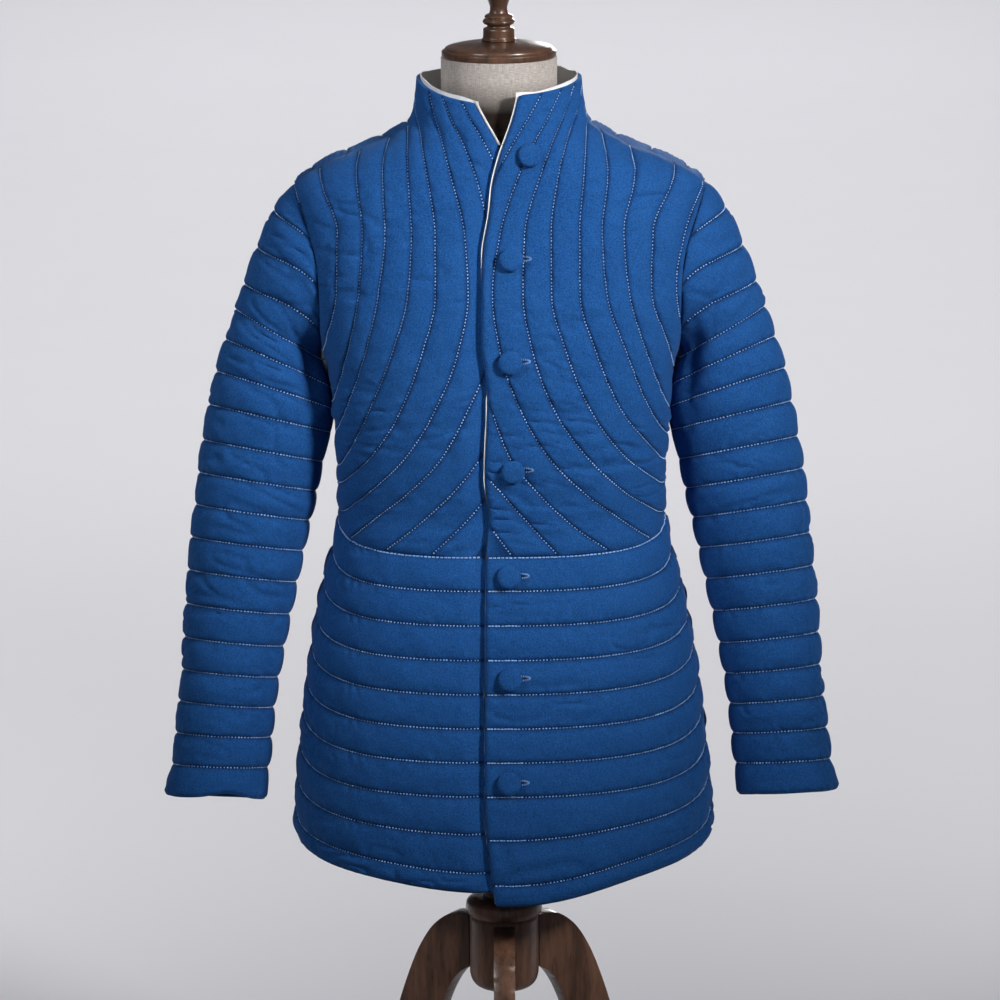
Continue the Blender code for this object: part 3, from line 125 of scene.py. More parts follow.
# Lines of stitching on the upper body, from the side to the front edge: distance from the centre
# line at each of LINE_HEIGHTS, from the collar down to the waist.
LINE_HEIGHTS = (1.320, 1.260, 1.200, 1.140, 1.080, 1.020, 0.970, 0.930, 0.900, 0.867)
LINE_COLUMNS = "collar shoulder chest_top chest bust rib low_rib above mid waist"
LINES = {
    "right": table(LINE_COLUMNS,
                   (150, 215, 199, 192, 203, 225, 247, 266, 281, 297),
                   (125, 185, 166, 167, 180, 200, 222, 240, 255, 270),
                   (108, 146, 140, 144, 155, 172, 195, 215, 230, 246),
                   (98, 119, 117, 124, 137, 156, 176, 196, 211, 226),
                   (94, 93, 90, 94, 110, 133, 155, 176, 192, 208),
                   (85, 74, 66, 66, 80, 102, 131, 164, 182, 198),
                   (66, 50, 36, 33, 44, 68, 98, 134, 162, 186),
                   (51, 25, 11, 4, 11, 35, 62, 98, 131, 163),
                   (32, 0, -18, -26, -22, -8, 22, 54, 84, 122),
                   (12, -26, -44, -54, -50, -36, -12, 14, 40, 73),
                   (-10, -52, -72, -84, -80, -64, -45, -24, -2, 26)),
    "left": table(LINE_COLUMNS,
                  (165, 250, 219, 205, 213, 228, 246, 264, 278, 298),
                  (140, 215, 191, 180, 190, 207, 227, 246, 261, 280),
                  (118, 180, 156, 154, 171, 188, 208, 228, 243, 262),
                  (103, 138, 126, 131, 147, 168, 190, 210, 225, 243),
                  (96, 110, 104, 108, 127, 149, 175, 196, 210, 228),
                  (90, 86, 81, 81, 97, 121, 155, 180, 196, 212),
                  (79, 60, 52, 52, 67, 91, 124, 162, 182, 199),
                  (67, 42, 25, 23, 33, 55, 88, 125, 159, 185),
                  (52, 20, 0, -8, 0, 21, 50, 87, 122, 161),
                  (32, -3, -26, -34, -29, -9, 10, 41, 70, 112),
                  (10, -28, -52, -60, -56, -45, -27, 4, 29, 58),
                  (-12, -54, -78, -86, -83, -78, -60, -33, -13, 11)),
    "back": table(LINE_COLUMNS,
                  (150, 230, 208, 198, 207, 226, 247, 266, 281, 297),
                  (125, 196, 177, 172, 183, 202, 222, 240, 255, 270),
                  (110, 159, 148, 146, 157, 176, 198, 217, 232, 246),
                  (100, 127, 120, 122, 134, 154, 177, 197, 212, 226),
                  (92, 98, 94, 96, 109, 130, 154, 177, 193, 208),
                  (74, 72, 69, 71, 84, 105, 131, 160, 179, 195),
                  (50, 47, 45, 47, 58, 78, 105, 137, 163, 184),
                  (25, 24, 23, 24, 30, 46, 70, 103, 134, 164),
                  (0, 0, 0, 0, 0, 6, 26, 56, 86, 122),
                  (-25, -24, -23, -24, -30, -30, -18, 12, 40, 73),
                  (-50, -47, -45, -47, -58, -66, -56, -30, -6, 26)),
}

SLEEVE_ROWS = 18
FIRST_FULL_ROW = 4.0     # the armhole cuts across the rows above this one
UNDERARM_ROW = 3.55
SLEEVE = table("row x y z half_width half_depth tilt pitch",
               (4, 0.2300, 0.000, 1.0780, 0.0505, 0.0530, 32.0, 10.0),
               (5, 0.2305, -0.001, 1.0470, 0.0590, 0.0560, 25.5, 13.0),
               (6, 0.2345, -0.002, 1.0185, 0.0630, 0.0580, 18.8, 13.0),
               (7, 0.2405, -0.003, 0.9890, 0.0630, 0.0580, 13.7, 12.0),
               (8, 0.2485, -0.004, 0.9550, 0.0613, 0.0575, 11.0, 11.5),
               (10, 0.2612, -0.007, 0.8898, 0.0575, 0.0560, 8.5, 11.0),
               (12, 0.2724, -0.010, 0.8220, 0.0540, 0.0530, 7.0, 11.0),
               (14, 0.2826, -0.013, 0.7515, 0.0495, 0.0490, 6.0, 11.0),
               (16, 0.2911, -0.016, 0.6840, 0.0467, 0.0465, 4.5, 11.5),
               (18, 0.2990, -0.018, 0.6170, 0.0478, 0.0455, 2.2, 12.5),
               (19, 0.3050, -0.019, 0.5830, 0.0492, 0.0460, 2.6, 14.0), scale=1)
SLEEVE_SHIFT = {"right": (0.000, 0.002), "left": (-0.003, 0.004)}
ARM_GAP, ARM_GAP_SOFTNESS = 0.0015, 0.003
SEAM_OFFSET, SHOULDER_SLOPE, SHOULDER_PULL, ARRIVE_ROWS = 0.0005, 0.95, 0.75, 2.2
Dent = namedtuple("Dent", "depth turn spread row rows")
FOLD = Dent(0.17, 2.25, 0.33, 5.0, 1.9)          # in front of the armpit, as a share of the width
TUCK = Dent(0.013, -2.3, 0.70, 5.0, 1.8)         # behind the armpit
PRESSED, PRESSED_SPREAD, PRESSED_END_ROW, PRESSED_ROWS = 0.85, 0.75, 9.5, 2.5
SLEEVE_SEAM_PINCH, CUFF_PINCH, CUFF_WAVE = 0.2, 0.12, 0.0012
CUFF_LIFT = {"right": 0.0060, "left": 0.0}       # a soft arch in the cuff's rim, in front
CUFF_LIFT_TURN, CUFF_LIFT_SPREAD = 1.85, 0.45
CUFF_FLARE = 0.0022      # the lining side of a cuff opens out towards its rim
SLEEVE_SLANT = 0.22      # the sleeves' creases drop towards the body
SLEEVE_GIRTH = 0.056     # metres of cloth to a radian round a sleeve

BUTTON_PLACES = table("z x", (1277.2, 30.1), (1175.5, 11.1), (1072.5, 9.5), (959.5, 11.9), (846.8, 7.2),
                      (743.6, 7.6), (637.0, 5.9))
BUTTON_RADIUS, BUTTON_HEIGHT = 0.0122, 0.0062
SHANK_RADIUS, SHANK_HEIGHT = 0.0045, 0.0015
HOLE_SHIFT, HOLE_RISE = 0.0105, 0.0008           # buttonhole's middle, from the button's
HOLE_LENGTH, HOLE_HEIGHT, HOLE_STITCHES = 0.0190, 0.0046, 30

# ------------------------------------------------------------------ sizes of the form and the stand
FORM_CLEARANCE, FORM_SLACK, FORM_BASE_Z = 0.0009, 0.0060, 0.690
FRONT_SPACE = 0.0070     # the form's chest lies this much deeper, clear of the lapped fronts
NECK_RADIUS, NECK_TOP_Z = 0.0600, 1.368
TIGHT_Z, TIGHT_FADE = 1.100, 0.120
NECK_ROWS = table("z blend",         # blend: 0 on the shoulders, 1 on the round neck
                  (1.302, 0.75), (1.315, 0.97), (1.335, 1.0), (NECK_TOP_Z, 1.0), scale=1)

# Turned wood: radius at each height, from the bottom up, in millimetres.
TURNED = {name: table("z radius", *rows) for name, rows in {
    "neck_cap": ((1368.3, 58.2), (1369, 59), (1373.5, 59.2), (1375.2, 57.8), (1376, 56), (1377.5, 55.5),
                 (1380, 49), (1382.2, 38), (1383.8, 24), (1384.2, 16)),
    "finial": ((1384.5, 17.2), (1386, 17.8), (1388, 16.3), (1397, 16), (1399, 12.2), (1400.5, 12),
               (1402, 15.2), (1404.5, 16.6), (1406.5, 15.6), (1407.8, 14), (1409.5, 14.6), (1411.5, 13),
               (1413, 9.8), (1417.6, 8.8), (1426, 11), (1437, 16.5), (1446, 18), (1455, 16),
               (1462, 10.5), (1465, 4.5)),
    "pole": ((469.5, 22.5), (480, 19), (495, 17.5), (686, 17.5)),
    "base_plate": ((686.3, 88), (686.7, 90), (689.3, 90), (689.7, 88)),
    "stand_ring": ((448, 36), (450, 39.2), (456, 40.8), (462, 40.2), (466, 37), (469.2, 30)),
    "hub": ((366, 12), (367.2, 22), (370.5, 30), (377, 35), (386, 36.9), (444, 36.9), (447.7, 35.5)),
}.items()}
# A leg seen from the side: its top from the hub to the foot, and its underside.
LEG_TOP = table("reach z", (37.2, 444), (56, 443), (78, 430), (98, 402), (113, 368), (128, 324),
                (148, 250), (170, 176), (196, 108), (224, 60), (254, 34), (276, 26), (284, 15), (283, 0))
LEG_UNDER = table("reach z", (37.2, 386), (50, 378), (64, 358), (76, 330), (90, 286), (110, 220),
                  (134, 150), (164, 86), (198, 38), (226, 12), (242, 0))
LEG_WIDTH, LEG_BEVEL = 0.0225, 0.00525
LEG_JOINT_REACH = 0.038  # edges nearer the axis than this stay square against the hub
LEG_ANGLES = {"leg_front": -90.0, "leg_back_right": 150.0, "leg_back_left": 30.0}

# ------------------------------------------------------------------ sizes that only the looks need
PITCH = 0.0028           # spacing of the cloth's points along a channel
CHANNEL_STEPS = (0.0, 0.022, 0.05, 0.09, 0.15, 0.22, 0.30, 0.38, 0.46, 0.54, 0.62, 0.70, 0.78,
                 0.85, 0.91, 0.95, 0.978)
CHANNEL_WIDTH = 0.028    # of the upper body, between two lines of stitching
LINE_RISE = 0.28         # height of the stitching, as a share of a full channel's
CHEST_DOME, SKIRT_DOME, SLEEVE_DOME = 0.42, 0.62, 0.50   # power of a channel's swell: low is flat
CHANNEL_FLOOR = 0.020    # flat share of a channel on each side, where the stitches lie
# width of the painted shade on each side of a line of stitching, as a share of a channel
VALLEY_SHARE = 0.15
STITCH_PITCH, STITCH_LENGTH, STITCH_WIDTH, STITCH_HEIGHT = 0.0035, 0.0019, 0.0015, 0.0011
BOLD_WIDTH = 0.0016      # stitching of the waist seam
LINE_CREASE = 0.25       # share of the creases' depth that crosses a line of stitching
TROUGH_WIDTH, TROUGH_DEPTH = 0.30, 0.0025
NOISE_CELLS, NOISE_LAYERS = 128, 24
RIM_BULGE = 0.0011       # roundness of the cloth's cut edges
SOFT_END = 0.006         # the fine relief fades out over this distance from a seam
FLAT, UP, DOWN = (0.0, 0.0, 0.0), (0.0, 0.0, 1.0), (0.0, 0.0, -1.0)     # directions for rims
LAYER = {"left": 0, "right": 4, "back": 8}


# ------------------------------------------------------------------ curves and noise
def smooth_value(xs, ys, x):
    """Value at x of a soft curve through the points, with no overshoot."""
    steps = [(ys[i + 1] - ys[i]) / (xs[i + 1] - xs[i]) for i in range(len(xs) - 1)]
    if x <= xs[0]:
        return ys[0] + steps[0] * (x - xs[0])
    if x >= xs[-1]:
        return ys[-1] + steps[-1] * (x - xs[-1])
    place = 0
    while x > xs[place + 1]:
        place += 1

    def slope(i):
        before, after = steps[max(i - 1, 0)], steps[min(i, len(steps) - 1)]
        return 2.0 * before * after / (before + after) if before * after > 0.0 else 0.0

    width = xs[place + 1] - xs[place]
    t = (x - xs[place]) / width
    start = ys[place] * (1 + 2 * t) * (1 - t) ** 2 + slope(place) * width * t * (1 - t) ** 2
    end = ys[place + 1] * t * t * (3 - 2 * t) - slope(place + 1) * width * t * t * (1 - t)
    return start + end


def smooth_column(rows, key, name, samples=1600):
    """One column of a table as a soft curve, sampled finely once and then read quickly."""
    xs, ys = [[getattr(row, column) for row in rows] for column in (key, name)]
    margin = 0.1 * (xs[-1] - xs[0])
    at = np.linspace(xs[0] - margin, xs[-1] + margin, samples)
    value = np.array([smooth_value(xs, ys, x) for x in at])
    return lambda x: np.interp(x, at, value)


def ease(t):
    """0 to 1 with soft ends."""
    t = np.clip(t, 0.0, 1.0)
    return t * t * (3 - 2 * t)


def part_left(share, t):
    """From `share` at a border, where t is 0, to the whole where t is 1."""
    return share + (1 - share) * t


def dome(t, power):
    """Swell of a channel above its stitching, t from 0 to 1 across its width."""
    t = np.clip((np.asarray(t) - CHANNEL_FLOOR) / (1 - 2 * CHANNEL_FLOOR), 0.0, 1.0)
    return (4 * t * (1 - t)) ** power


def arch(t, power):
    """Height of the cloth as a share of a full channel; the stitching lies part of the way up."""
    return part_left(LINE_RISE, dome(t, power))


def valley(number):
    """Share of painted shade: 1 in a line of stitching, 0 from VALLEY_SHARE of a channel's width away."""
    across = number - np.floor(number)
    return (1 - np.minimum(np.minimum(across, 1 - across) / VALLEY_SHARE, 1.0)) ** 2


def pinch(distance, reach):
    """Padding thins out towards a seam."""
    t = np.clip(np.asarray(distance) / reach, 0.0, 1.0)
    return np.sqrt(1 - (1 - t) ** 2)


def gauss(offset, spread):
    return np.exp(-(offset / spread) ** 2)


LATTICE = np.random.default_rng(23).random((NOISE_LAYERS, NOISE_CELLS, NOISE_CELLS)) * 2 - 1


def noise(u, v, layer):
    """Soft noise from -1 to 1, about one feature a unit."""
    u, v = as_arrays(u, v)
    column, row = np.floor(u).astype(int), np.floor(v).astype(int)
    across, up = ease(u - column), ease(v - row)

    def level(dv):
        start, end = [LATTICE[layer][(column + du) % NOISE_CELLS, (row + dv) % NOISE_CELLS] for du in (0, 1)]
        return start * (1 - across) + end * across
    return level(0) * (1 - up) + level(1) * up


def as_arrays(*values):
    return np.broadcast_arrays(*[np.asarray(value, dtype=float) for value in values])


def unit(vectors):
    return vectors / np.maximum(np.linalg.norm(vectors, axis=-1, keepdims=True), 1e-12)


def apart(points, to):
    return np.linalg.norm(points - to, axis=-1)


def run_of(points):
    """Distance along a row of points, from its first."""
    return np.concatenate(([0.0], np.cumsum(np.linalg.norm(np.diff(points, axis=0), axis=1))))


# ------------------------------------------------------------------ torso surface
HALF_WIDTH, FRONT, BACK, POWER = [smooth_column(TORSO, "z", name) for name in TORSO[0]._fields[1:]]
PEEP_AT = smooth_column(EDGE_PEEPS, "z", "peep")
EDGE_AT = {"left": smooth_column(LEFT_EDGE, "z", "x"), "right": smooth_column(RIGHT_EDGE, "z", "x")}
SLEEVE_AT = {name: smooth_column(SLEEVE, "row", name) for name in SLEEVE[0]._fields[1:]}


def torso_point(angle, z):
    """Angle 0 is the centre front, +90 degrees the left side and 180 the centre back."""
    angle, z = as_arrays(angle, z)
    across, along = np.sin(angle), np.cos(angle)
    depth = np.where(along > 0, FRONT(z), BACK(z))
    x = HALF_WIDTH(z) * np.sign(across) * np.abs(across) ** (2 / POWER(z))
    y = -depth * np.sign(along) * np.abs(along) ** (2 / POWER(z))
    return np.stack((x, y, z), axis=-1)


def angle_at_x(x, z, back=False):
    """Angle of the torso point at x, running on past the side when x lies beyond it."""
    reach = np.abs(x) / HALF_WIDTH(z)
    inside = np.arcsin(np.minimum(reach, 1.0) ** (POWER(z) / 2))
    angle = np.copysign(np.where(reach < 1.0, inside, math.pi / 2 + (reach - 1.0)), x)
    return math.pi - angle if back else angle


def angle_at_y(y, z):
    """Angle on the left side where the torso has this y."""
    depth = np.where(np.asarray(y) < 0, FRONT(z), BACK(z))
    part = np.arccos(np.minimum(np.abs(y) / depth, 1.0) ** (POWER(z) / 2))
    return np.where(np.asarray(y) < 0, part, math.pi - part)


def true_height(angle, level, side):
    """Height at an angle of the row that is named by its level on the front of the body."""
    rise = ease((RISE_TOP_Z - level) / RISE_FADE) * SIDE_RISE * (1 - np.abs(np.cos(angle))) ** 2
    facing = np.maximum(np.cos(angle), 0.0)
    low = ease((CORNER_TOP_Z - level) / (CORNER_TOP_Z - HEM_Z))
    high = ease((level - NECK_BASE_Z) / (COLLAR_TOP_Z - NECK_BASE_Z))
    fall = low * CORNER_DROP.get(side, 0.0) * facing ** 8
    drop = high * COLLAR_DROP.get(side, 0.0) * facing ** 1.5
    return level + rise - fall - drop


def settle(level, side, find_angle):
    """Angle at which a rule given in true heights meets the row at `level`."""
    z = level
    for _ in range(5):
        angle = find_angle(z)
        z = true_height(angle, level, side)
    return angle


def shell_frame(angle, level, side):
    """Points on the stitching surface and their outward directions."""
    step = 0.002

    def place(a, v):
        return torso_point(a, true_height(a, v, side))
    across = place(angle + step, level) - place(angle - step, level)
    up = place(angle, level + step) - place(angle, level - step)
    return place(angle, level), unit(np.cross(across, up))


def shell_point(angle, level, out, side):
    """Points `out` beyond the stitching surface, on the row at `level`."""
    base, outward = shell_frame(angle, level, side)
    return base + outward * np.asarray(out)[..., None]


def edge_x(side, z):
    return EDGE_AT[side](z) if side == "left" else -EDGE_AT[side](z)


def at_edge(side, level, inside=0.0):
    """Angle at a front's edge, or this far inside it, on the row at `level`."""
    return settle(level, side, lambda z: angle_at_x(edge_x(side, z) + inside, z))


def at_side(side, level, y):
    return settle(level, side, lambda z: angle_at_y(y, z))


def lap(side, angle, z):
    """0 where the right front lies free, 1 where it is beneath the left one."""
    if side != "right":
        return np.zeros(np.broadcast(angle, z).shape)
    return ease((LAP_END - torso_point(angle, z)[..., 0] - EDGE_AT["left"](z)) / LAP_FADE)


def edge_share(side, from_edge):
    """How much of the padding's swell is left near a front's edge."""
    return part_left(EDGE_SHARE[side], pinch(from_edge, EDGE_CRISP if side == "left" else EDGE_PINCH))


def side_angle(z, front):
    """Where a panel ends at its side: the side seam, the armhole or the shoulder seam."""
    part = np.clip((z - ARMHOLE_Z) / ARMHOLE_HALF_HEIGHT, -1.0, 1.0)
    swing = np.sqrt(1.0 - part * part)
    reach = np.maximum((ARMHOLE_FRONT if front else ARMHOLE_BACK) * swing, SEAM_GAP / 2)
    return angle_at_y(-reach if front else reach, z)


def mirrored(points, side):
    return points * np.array((-1.0, 1.0, 1.0)) if side == "right" else points


# ------------------------------------------------------------------ relief of the cloth
def creases(u, v, layer, slant=0.0):
    """Lumps of the padding, and soft troughs that wander along u in loose patches."""
    bend = v - slant * u + 0.004 * noise(u / 0.050, v / 0.050, layer)
    trough = ease(1 - np.abs(noise(u / 0.038, bend / 0.0125, layer)) / TROUGH_WIDTH)
    patch = ease(0.25 + 1.4 * noise(u / 0.075, v / 0.055, layer + 1))
    lumps = 0.0009 * noise(u / 0.021, v / 0.015, layer + 2)
    lumps = lumps + 0.0004 * noise(u / 0.009, v / 0.008, layer + 3)
    return lumps - TROUGH_DEPTH * trough * patch


def puckers(along, across, width, layer, depth=0.0011):
    """Small pulls at the stitches; across is the share of the channel's width."""
    near = gauss(np.minimum(across, 1 - across) * width - 0.003, 0.004)
    return depth * near * noise(along / 0.0055, np.floor(across + 0.5) * 7.7, layer)


def fullness(along, number, layer):
    """How evenly a channel is filled."""
    return 1 + 0.13 * noise(along / 0.045, np.floor(number) * 3.3, layer)


def fine_relief(u, v, along, across, power, width, layer, pulls, slant=0.0):
    """Creases, which a line of stitching holds down, with the pulls at its stitches."""
    relief = creases(u, v, layer, slant) * part_left(LINE_CREASE, dome(across, power))
    return relief + puckers(along, across, width, pulls)


# ------------------------------------------------------------------ meshes
def weld(mesh):
    """Joins points that coincide and turns the faces outwards."""
    shaped = bmesh.new()
    shaped.from_mesh(mesh)
    bmesh.ops.remove_doubles(shaped, verts=shaped.verts, dist=1e-5)
    bmesh.ops.recalc_face_normals(shaped, faces=shaped.faces)
    if shaped.calc_volume(signed=True) < 0:
        bmesh.ops.reverse_faces(shaped, faces=shaped.faces)
    shaped.to_mesh(mesh)
    shaped.free()


def link(name, data):
    made = bpy.data.objects.new(name, data)
    bpy.context.scene.collection.objects.link(made)
    return made


def make_mesh(name, points, faces, finish, flat, node=None, crease=60.0,
              closed=True, valley=None):
    """One piece on the root body; flat gives each point its place on the cloth, in metres.

    The share of painted shade is given for each point: 1 in a line of stitching and 0 on a channel's back.
    """
    mesh = bpy.data.meshes.new(name)
    mesh.from_pydata(np.asarray(points, dtype=float).tolist(), [], faces)
    layer = mesh.uv_layers.new(name="cloth")
    corners = np.empty(len(mesh.loops), dtype=np.int32)
    mesh.loops.foreach_get("vertex_index", corners)
    layer.data.foreach_set("uv", np.asarray(flat, dtype=np.float32)[corners].ravel())
    if valley is not None:
        depth = mesh.attributes.new("valley", "FLOAT", "POINT")
        depth.data.foreach_set("value", np.asarray(valley, dtype=np.float32))
    if closed:
        weld(mesh)
    mesh.shade_smooth()
    mesh.set_sharp_from_angle(angle=math.radians(crease))
    mesh.materials.append(finish)
    made = link(name, mesh)
    made.location = AXIS_PLACE
    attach(made, "root")
    if node:
        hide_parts(node)
    return made


class Wall:
    """A closed padded wall: an outer and an inner stack of rows, joined by rims."""

    def __init__(self):
        self.points, self.flat, self.valley, self.faces = [], [], [], []

    def add(self, points, flat, valley=0.0):
        first = len(self.points)
        self.points.extend(np.asarray(points).tolist())
        self.flat.extend(np.asarray(flat).tolist())
        self.valley.extend(np.broadcast_to(valley, (len(self.points) - first,)).tolist())
        return list(range(first, len(self.points)))

    def row(self, side, angle, level, out, along, keys=None, valley=0.0, lift=0.0):
        """A row of cloth `out` beyond the stitching surface, `along` the cloth in metres."""
        points = mirrored(shell_point(angle, level, out, side), side)
        points[:, 2] += lift
        flat = np.stack((along, true_height(angle, level, side)), axis=-1)
        return list(angle if keys is None else keys), self.add(points, flat, valley)

    def zip(self, first, second):
        """Triangles between two rows, stepping along whichever has the nearer next key."""
        (keys_a, row_a), (keys_b, row_b) = first, second
        i = j = 0
        while i < len(row_a) - 1 or j < len(row_b) - 1:
            if j == len(row_b) - 1 or (i < len(row_a) - 1 and keys_a[i + 1] <= keys_b[j + 1]):
                corners = (row_a[i], row_a[i + 1], row_b[j])
                i += 1
            else:
                corners = (row_a[i], row_b[j + 1], row_b[j])
                j += 1
            if len(set(corners)) == 3:
                self.faces.append(corners)

    def stack(self, rows):
        for lower, upper in zip(rows, rows[1:]):
            self.zip(lower, upper)

    def rim(self, outer, inner, bulge):
        """Joins two borders; the rim between them is rounded towards bulge."""
        lines = [np.array([self.points[i] for i in border]) for border in (outer, inner)]
        runs = [run_of(line) for line in lines]
        share, other = [run / run[-1] for run in runs]
        length = runs[1][-1]
        rows = [(share.tolist(), list(outer))]
        near = np.stack([np.interp(share, other, lines[1][:, k]) for k in range(3)], axis=-1)
        taper = np.minimum(1.0, np.minimum(share, 1 - share) * length / 0.004)
        for part in (0.16, 0.5, 0.84):
            out = (RIM_BULGE * math.sin(math.pi * part) * taper)[:, None] * np.asarray(bulge)
            middle = lines[0] * (1 - part) + near * part + out
            flat = np.stack((share * length, np.full(len(share), WALL * part)), axis=-1)
            rows.append((share.tolist(), self.add(middle, flat)))
        rows.append((other.tolist(), list(inner)))
        self.stack(rows)

    def close(self, outer, inner, bulges):
        """bulges: directions for the rims at the first row, last row, row starts and row ends."""
        self.stack(outer)
        self.stack(inner)
        for end, bulge in zip((0, -1), bulges):
            self.rim(outer[end][1], inner[end][1], bulge)
        for end, bulge in zip((0, -1), bulges[2:]):
            self.rim([row[end] for _, row in outer], [row[end] for _, row in inner], bulge)

    def piece(self, node, finish, slot="blue_quilted_cloth", ending="_cloth"):
        return make_mesh(node + ending, self.points, self.faces, finish, self.flat, node,
                         valley=self.valley)


TOWARDS_EDGE = {"left": (-1.0, 0.0, 0.0), "right": (1.0, 0.0, 0.0), "back": FLAT}


# ------------------------------------------------------------------ upper body
def line_table(lines):
    """The lines of stitching as a table of distances over fine heights."""
    heights = np.linspace(0.84, 1.36, 521)
    return heights, np.array([[smooth_value(LINE_HEIGHTS[::-1], line[::-1], z) for z in heights]
                              for line in lines])


LINE_TABLES = {side: line_table(lines) for side, lines in LINES.items()}


def line_distance(side, number, z):
    """Distance from the centre line of a line of stitching, which may be fractional."""
    heights, places = LINE_TABLES[side]
    number, z = as_arrays(number, z)
    place = np.clip((z - heights[0]) / (heights[1] - heights[0]), 0, len(heights) - 1.001)
    column = place.astype(int)
    share = place - column
    low = np.minimum(np.floor(number).astype(int), len(places) - 2)
    near, far = [places[n, column] * (1 - share) + places[n, column + 1] * share for n in (low, low + 1)]
    return near + (far - near) * (number - low)


def channel_at(side, from_middle, z):
    """Channel number at this distance from the centre line, for one point.

    Past the first and last line the number runs on, up to half a channel.
    """
    heights, rows = LINE_TABLES[side]
    places = np.array([np.interp(z, heights, line) for line in rows])
    over = np.array((places[-1] - from_middle, from_middle - places[0]))
    past = np.clip(over / CHANNEL_WIDTH, 0.0, 0.5)
    return float(np.interp(-from_middle, -places, np.arange(len(places))) + past[0] - past[1])


def chest_levels():
    """Rows of the upper body, closer together at the top and bottom of the armhole."""
    even = np.arange(WAIST_Z + SEAM_GAP / 2, COLLAR_TOP_Z, PITCH)
    hole = ARMHOLE_Z - ARMHOLE_HALF_HEIGHT * np.cos(np.linspace(0.0, math.pi, 61))
    levels = [even[0], COLLAR_TOP_Z] + [ARMHOLE_Z + side * ARMHOLE_HALF_HEIGHT for side in (-1, 1)]
    for level in np.concatenate((hole, even)):
        if np.abs(np.array(levels) - level).min() > (0.0007 if level in hole else 0.55 * PITCH):
            levels.append(level)
    return np.array(sorted(levels))


def chest_puff(side, angle, level, number, from_edge, from_side):
    """How far a channel of the upper body stands out from its stitching."""
    swell = arch(number - np.floor(number), CHEST_DOME) * PUFF_CHEST
    swell = swell * pinch(level - WAIST_Z, WAIST_PINCH) * edge_share(side, from_edge)
    at_armhole = ease((level - UNDERARM_Z) / 0.02) * ease((SHOULDER_Z - level) / 0.02)
    at_seam = pinch(from_side, ARMHOLE_PINCH) * part_left(0.45, ease(from_side / ARMHOLE_FLAT))
    swell = swell * (at_seam * at_armhole + ease(from_side / SIDE_PINCH) * (1 - at_armhole))
    swell = swell * part_left(0.35, ease((COLLAR_TOP_Z - level) / COLLAR_PINCH))
    underarm = gauss(true_height(angle, level, side) - UNDERARM_Z, UNDERARM_REACH)
    return swell * (1 - 0.9 * ease((np.abs(np.sin(angle)) - 0.86) / 0.12) * underarm)


def chest_out(side, angle, level, channel, here, from_edge, from_side):
    """How far the cloth stands out from the stitching surface, with its fine relief."""
    z, layer = here[:, 2], LAYER[side]
    puff = chest_puff(side, angle, level, channel, from_edge, from_side)
    relief = fine_relief(here[:, 0], z, z, channel - np.floor(channel), CHEST_DOME, CHANNEL_WIDTH, layer,
                         layer + 2)
    free = ease(np.minimum(from_edge, from_side) / SOFT_END)
    free = free * ease((level - WAIST_Z) / SOFT_END) * ease((COLLAR_TOP_Z - level) / SOFT_END)
    under = lap(side, angle, z)
    out = puff * fullness(z, channel, layer + 3) + relief * free * pinch(puff, 0.0015)
    return out * (1 - under) - LAP_DEPTH * under


def chest_ends(side, levels):
    """Angles at which an upper panel ends: its side, and its front edge or the centre back."""
    seams = settle(levels, side, lambda z: side_angle(z, side != "back"))
    return seams, np.full(levels.shape, math.pi) if side == "back" else at_edge(side, levels)


def upper_panel(side, finish):
    """A front or the back from the waist seam up to the top of its collar, quilted in long curves."""
    back = side == "back"
    numbers = np.array([n + step for n in range(len(LINES[side]) - 1) for step in CHANNEL_STEPS])
    levels = chest_levels()
    seams, middles = chest_ends(side, levels)
    angles = settle(levels[:, None], side,
                    lambda z: angle_at_x(line_distance(side, numbers, z), z, back))
    wall, outer, inner = Wall(), [], []
    for place, (level, seam, middle, line_angles) in enumerate(zip(levels, seams, middles, angles)):
        ends = [torso_point(end, true_height(end, level, side)) for end in (seam, middle)]
        here = torso_point(line_angles, true_height(line_angles, level, side))
        clear = np.minimum(apart(here, ends[0]), apart(here, ends[1]))
        low, high = sorted((seam, middle))
        keep = (line_angles > low) & (line_angles < high) & (clear > 0.6 * PITCH)
        half = np.concatenate(([seam], line_angles[keep]))
        half_number = np.concatenate(([channel_at(side, *ends[0][[0, 2]])], numbers[keep]))
        last = channel_at(side, 0.0 if back else ends[1][0], ends[1][2])
        if back:
            angle = np.concatenate((half, [math.pi], (2 * math.pi - half)[::-1]))
            keys = np.concatenate((half_number, [last], (2 * last - half_number)[::-1]))
            channel = np.where(angle > math.pi, 2 * last - keys, keys)
        else:
            angle = np.append(half, middle)[::-1]
            channel = np.append(half_number, last)[::-1]
            keys = -channel
        z = true_height(angle, level, side)
        here = torso_point(angle, z)
        from_side = apart(here, here[-1])
        from_edge = 1.0 if back else here[:, 0] - edge_x(side, z)
        if back:
            from_side = np.minimum(from_side, apart(here, here[0]))
        out = chest_out(side, angle, level, channel, here, from_edge, from_side)
        outer.append(wall.row(side, angle, level, out, run_of(here), keys, valley(channel)))
        if place % 3 == 0 or place == len(levels) - 1:
            plain = np.linspace(angle[0], angle[-1], 90 if back else 60)
            inner.append(inner_row(wall, side, plain, level, 0.17))
    wall.close(outer, inner, (FLAT, UP, TOWARDS_EDGE[side], FLAT))
    return wall.piece("back_upper" if back else "front_%s_upper" % side, finish)


def inner_row(wall, side, angle, level, cloth_to_radian):
    """A row of a panel's plain inside."""
    under = lap(side, angle, true_height(angle, level, side))
    return wall.row(side, angle, level, -WALL - LAP_DEPTH * under, angle * cloth_to_radian)


# ------------------------------------------------------------------ skirt
def skirt_lines():
    return [WAIST_Z - ROW_PITCH * row for row in range(SKIRT_ROWS + 1)] + [HEM_Z]


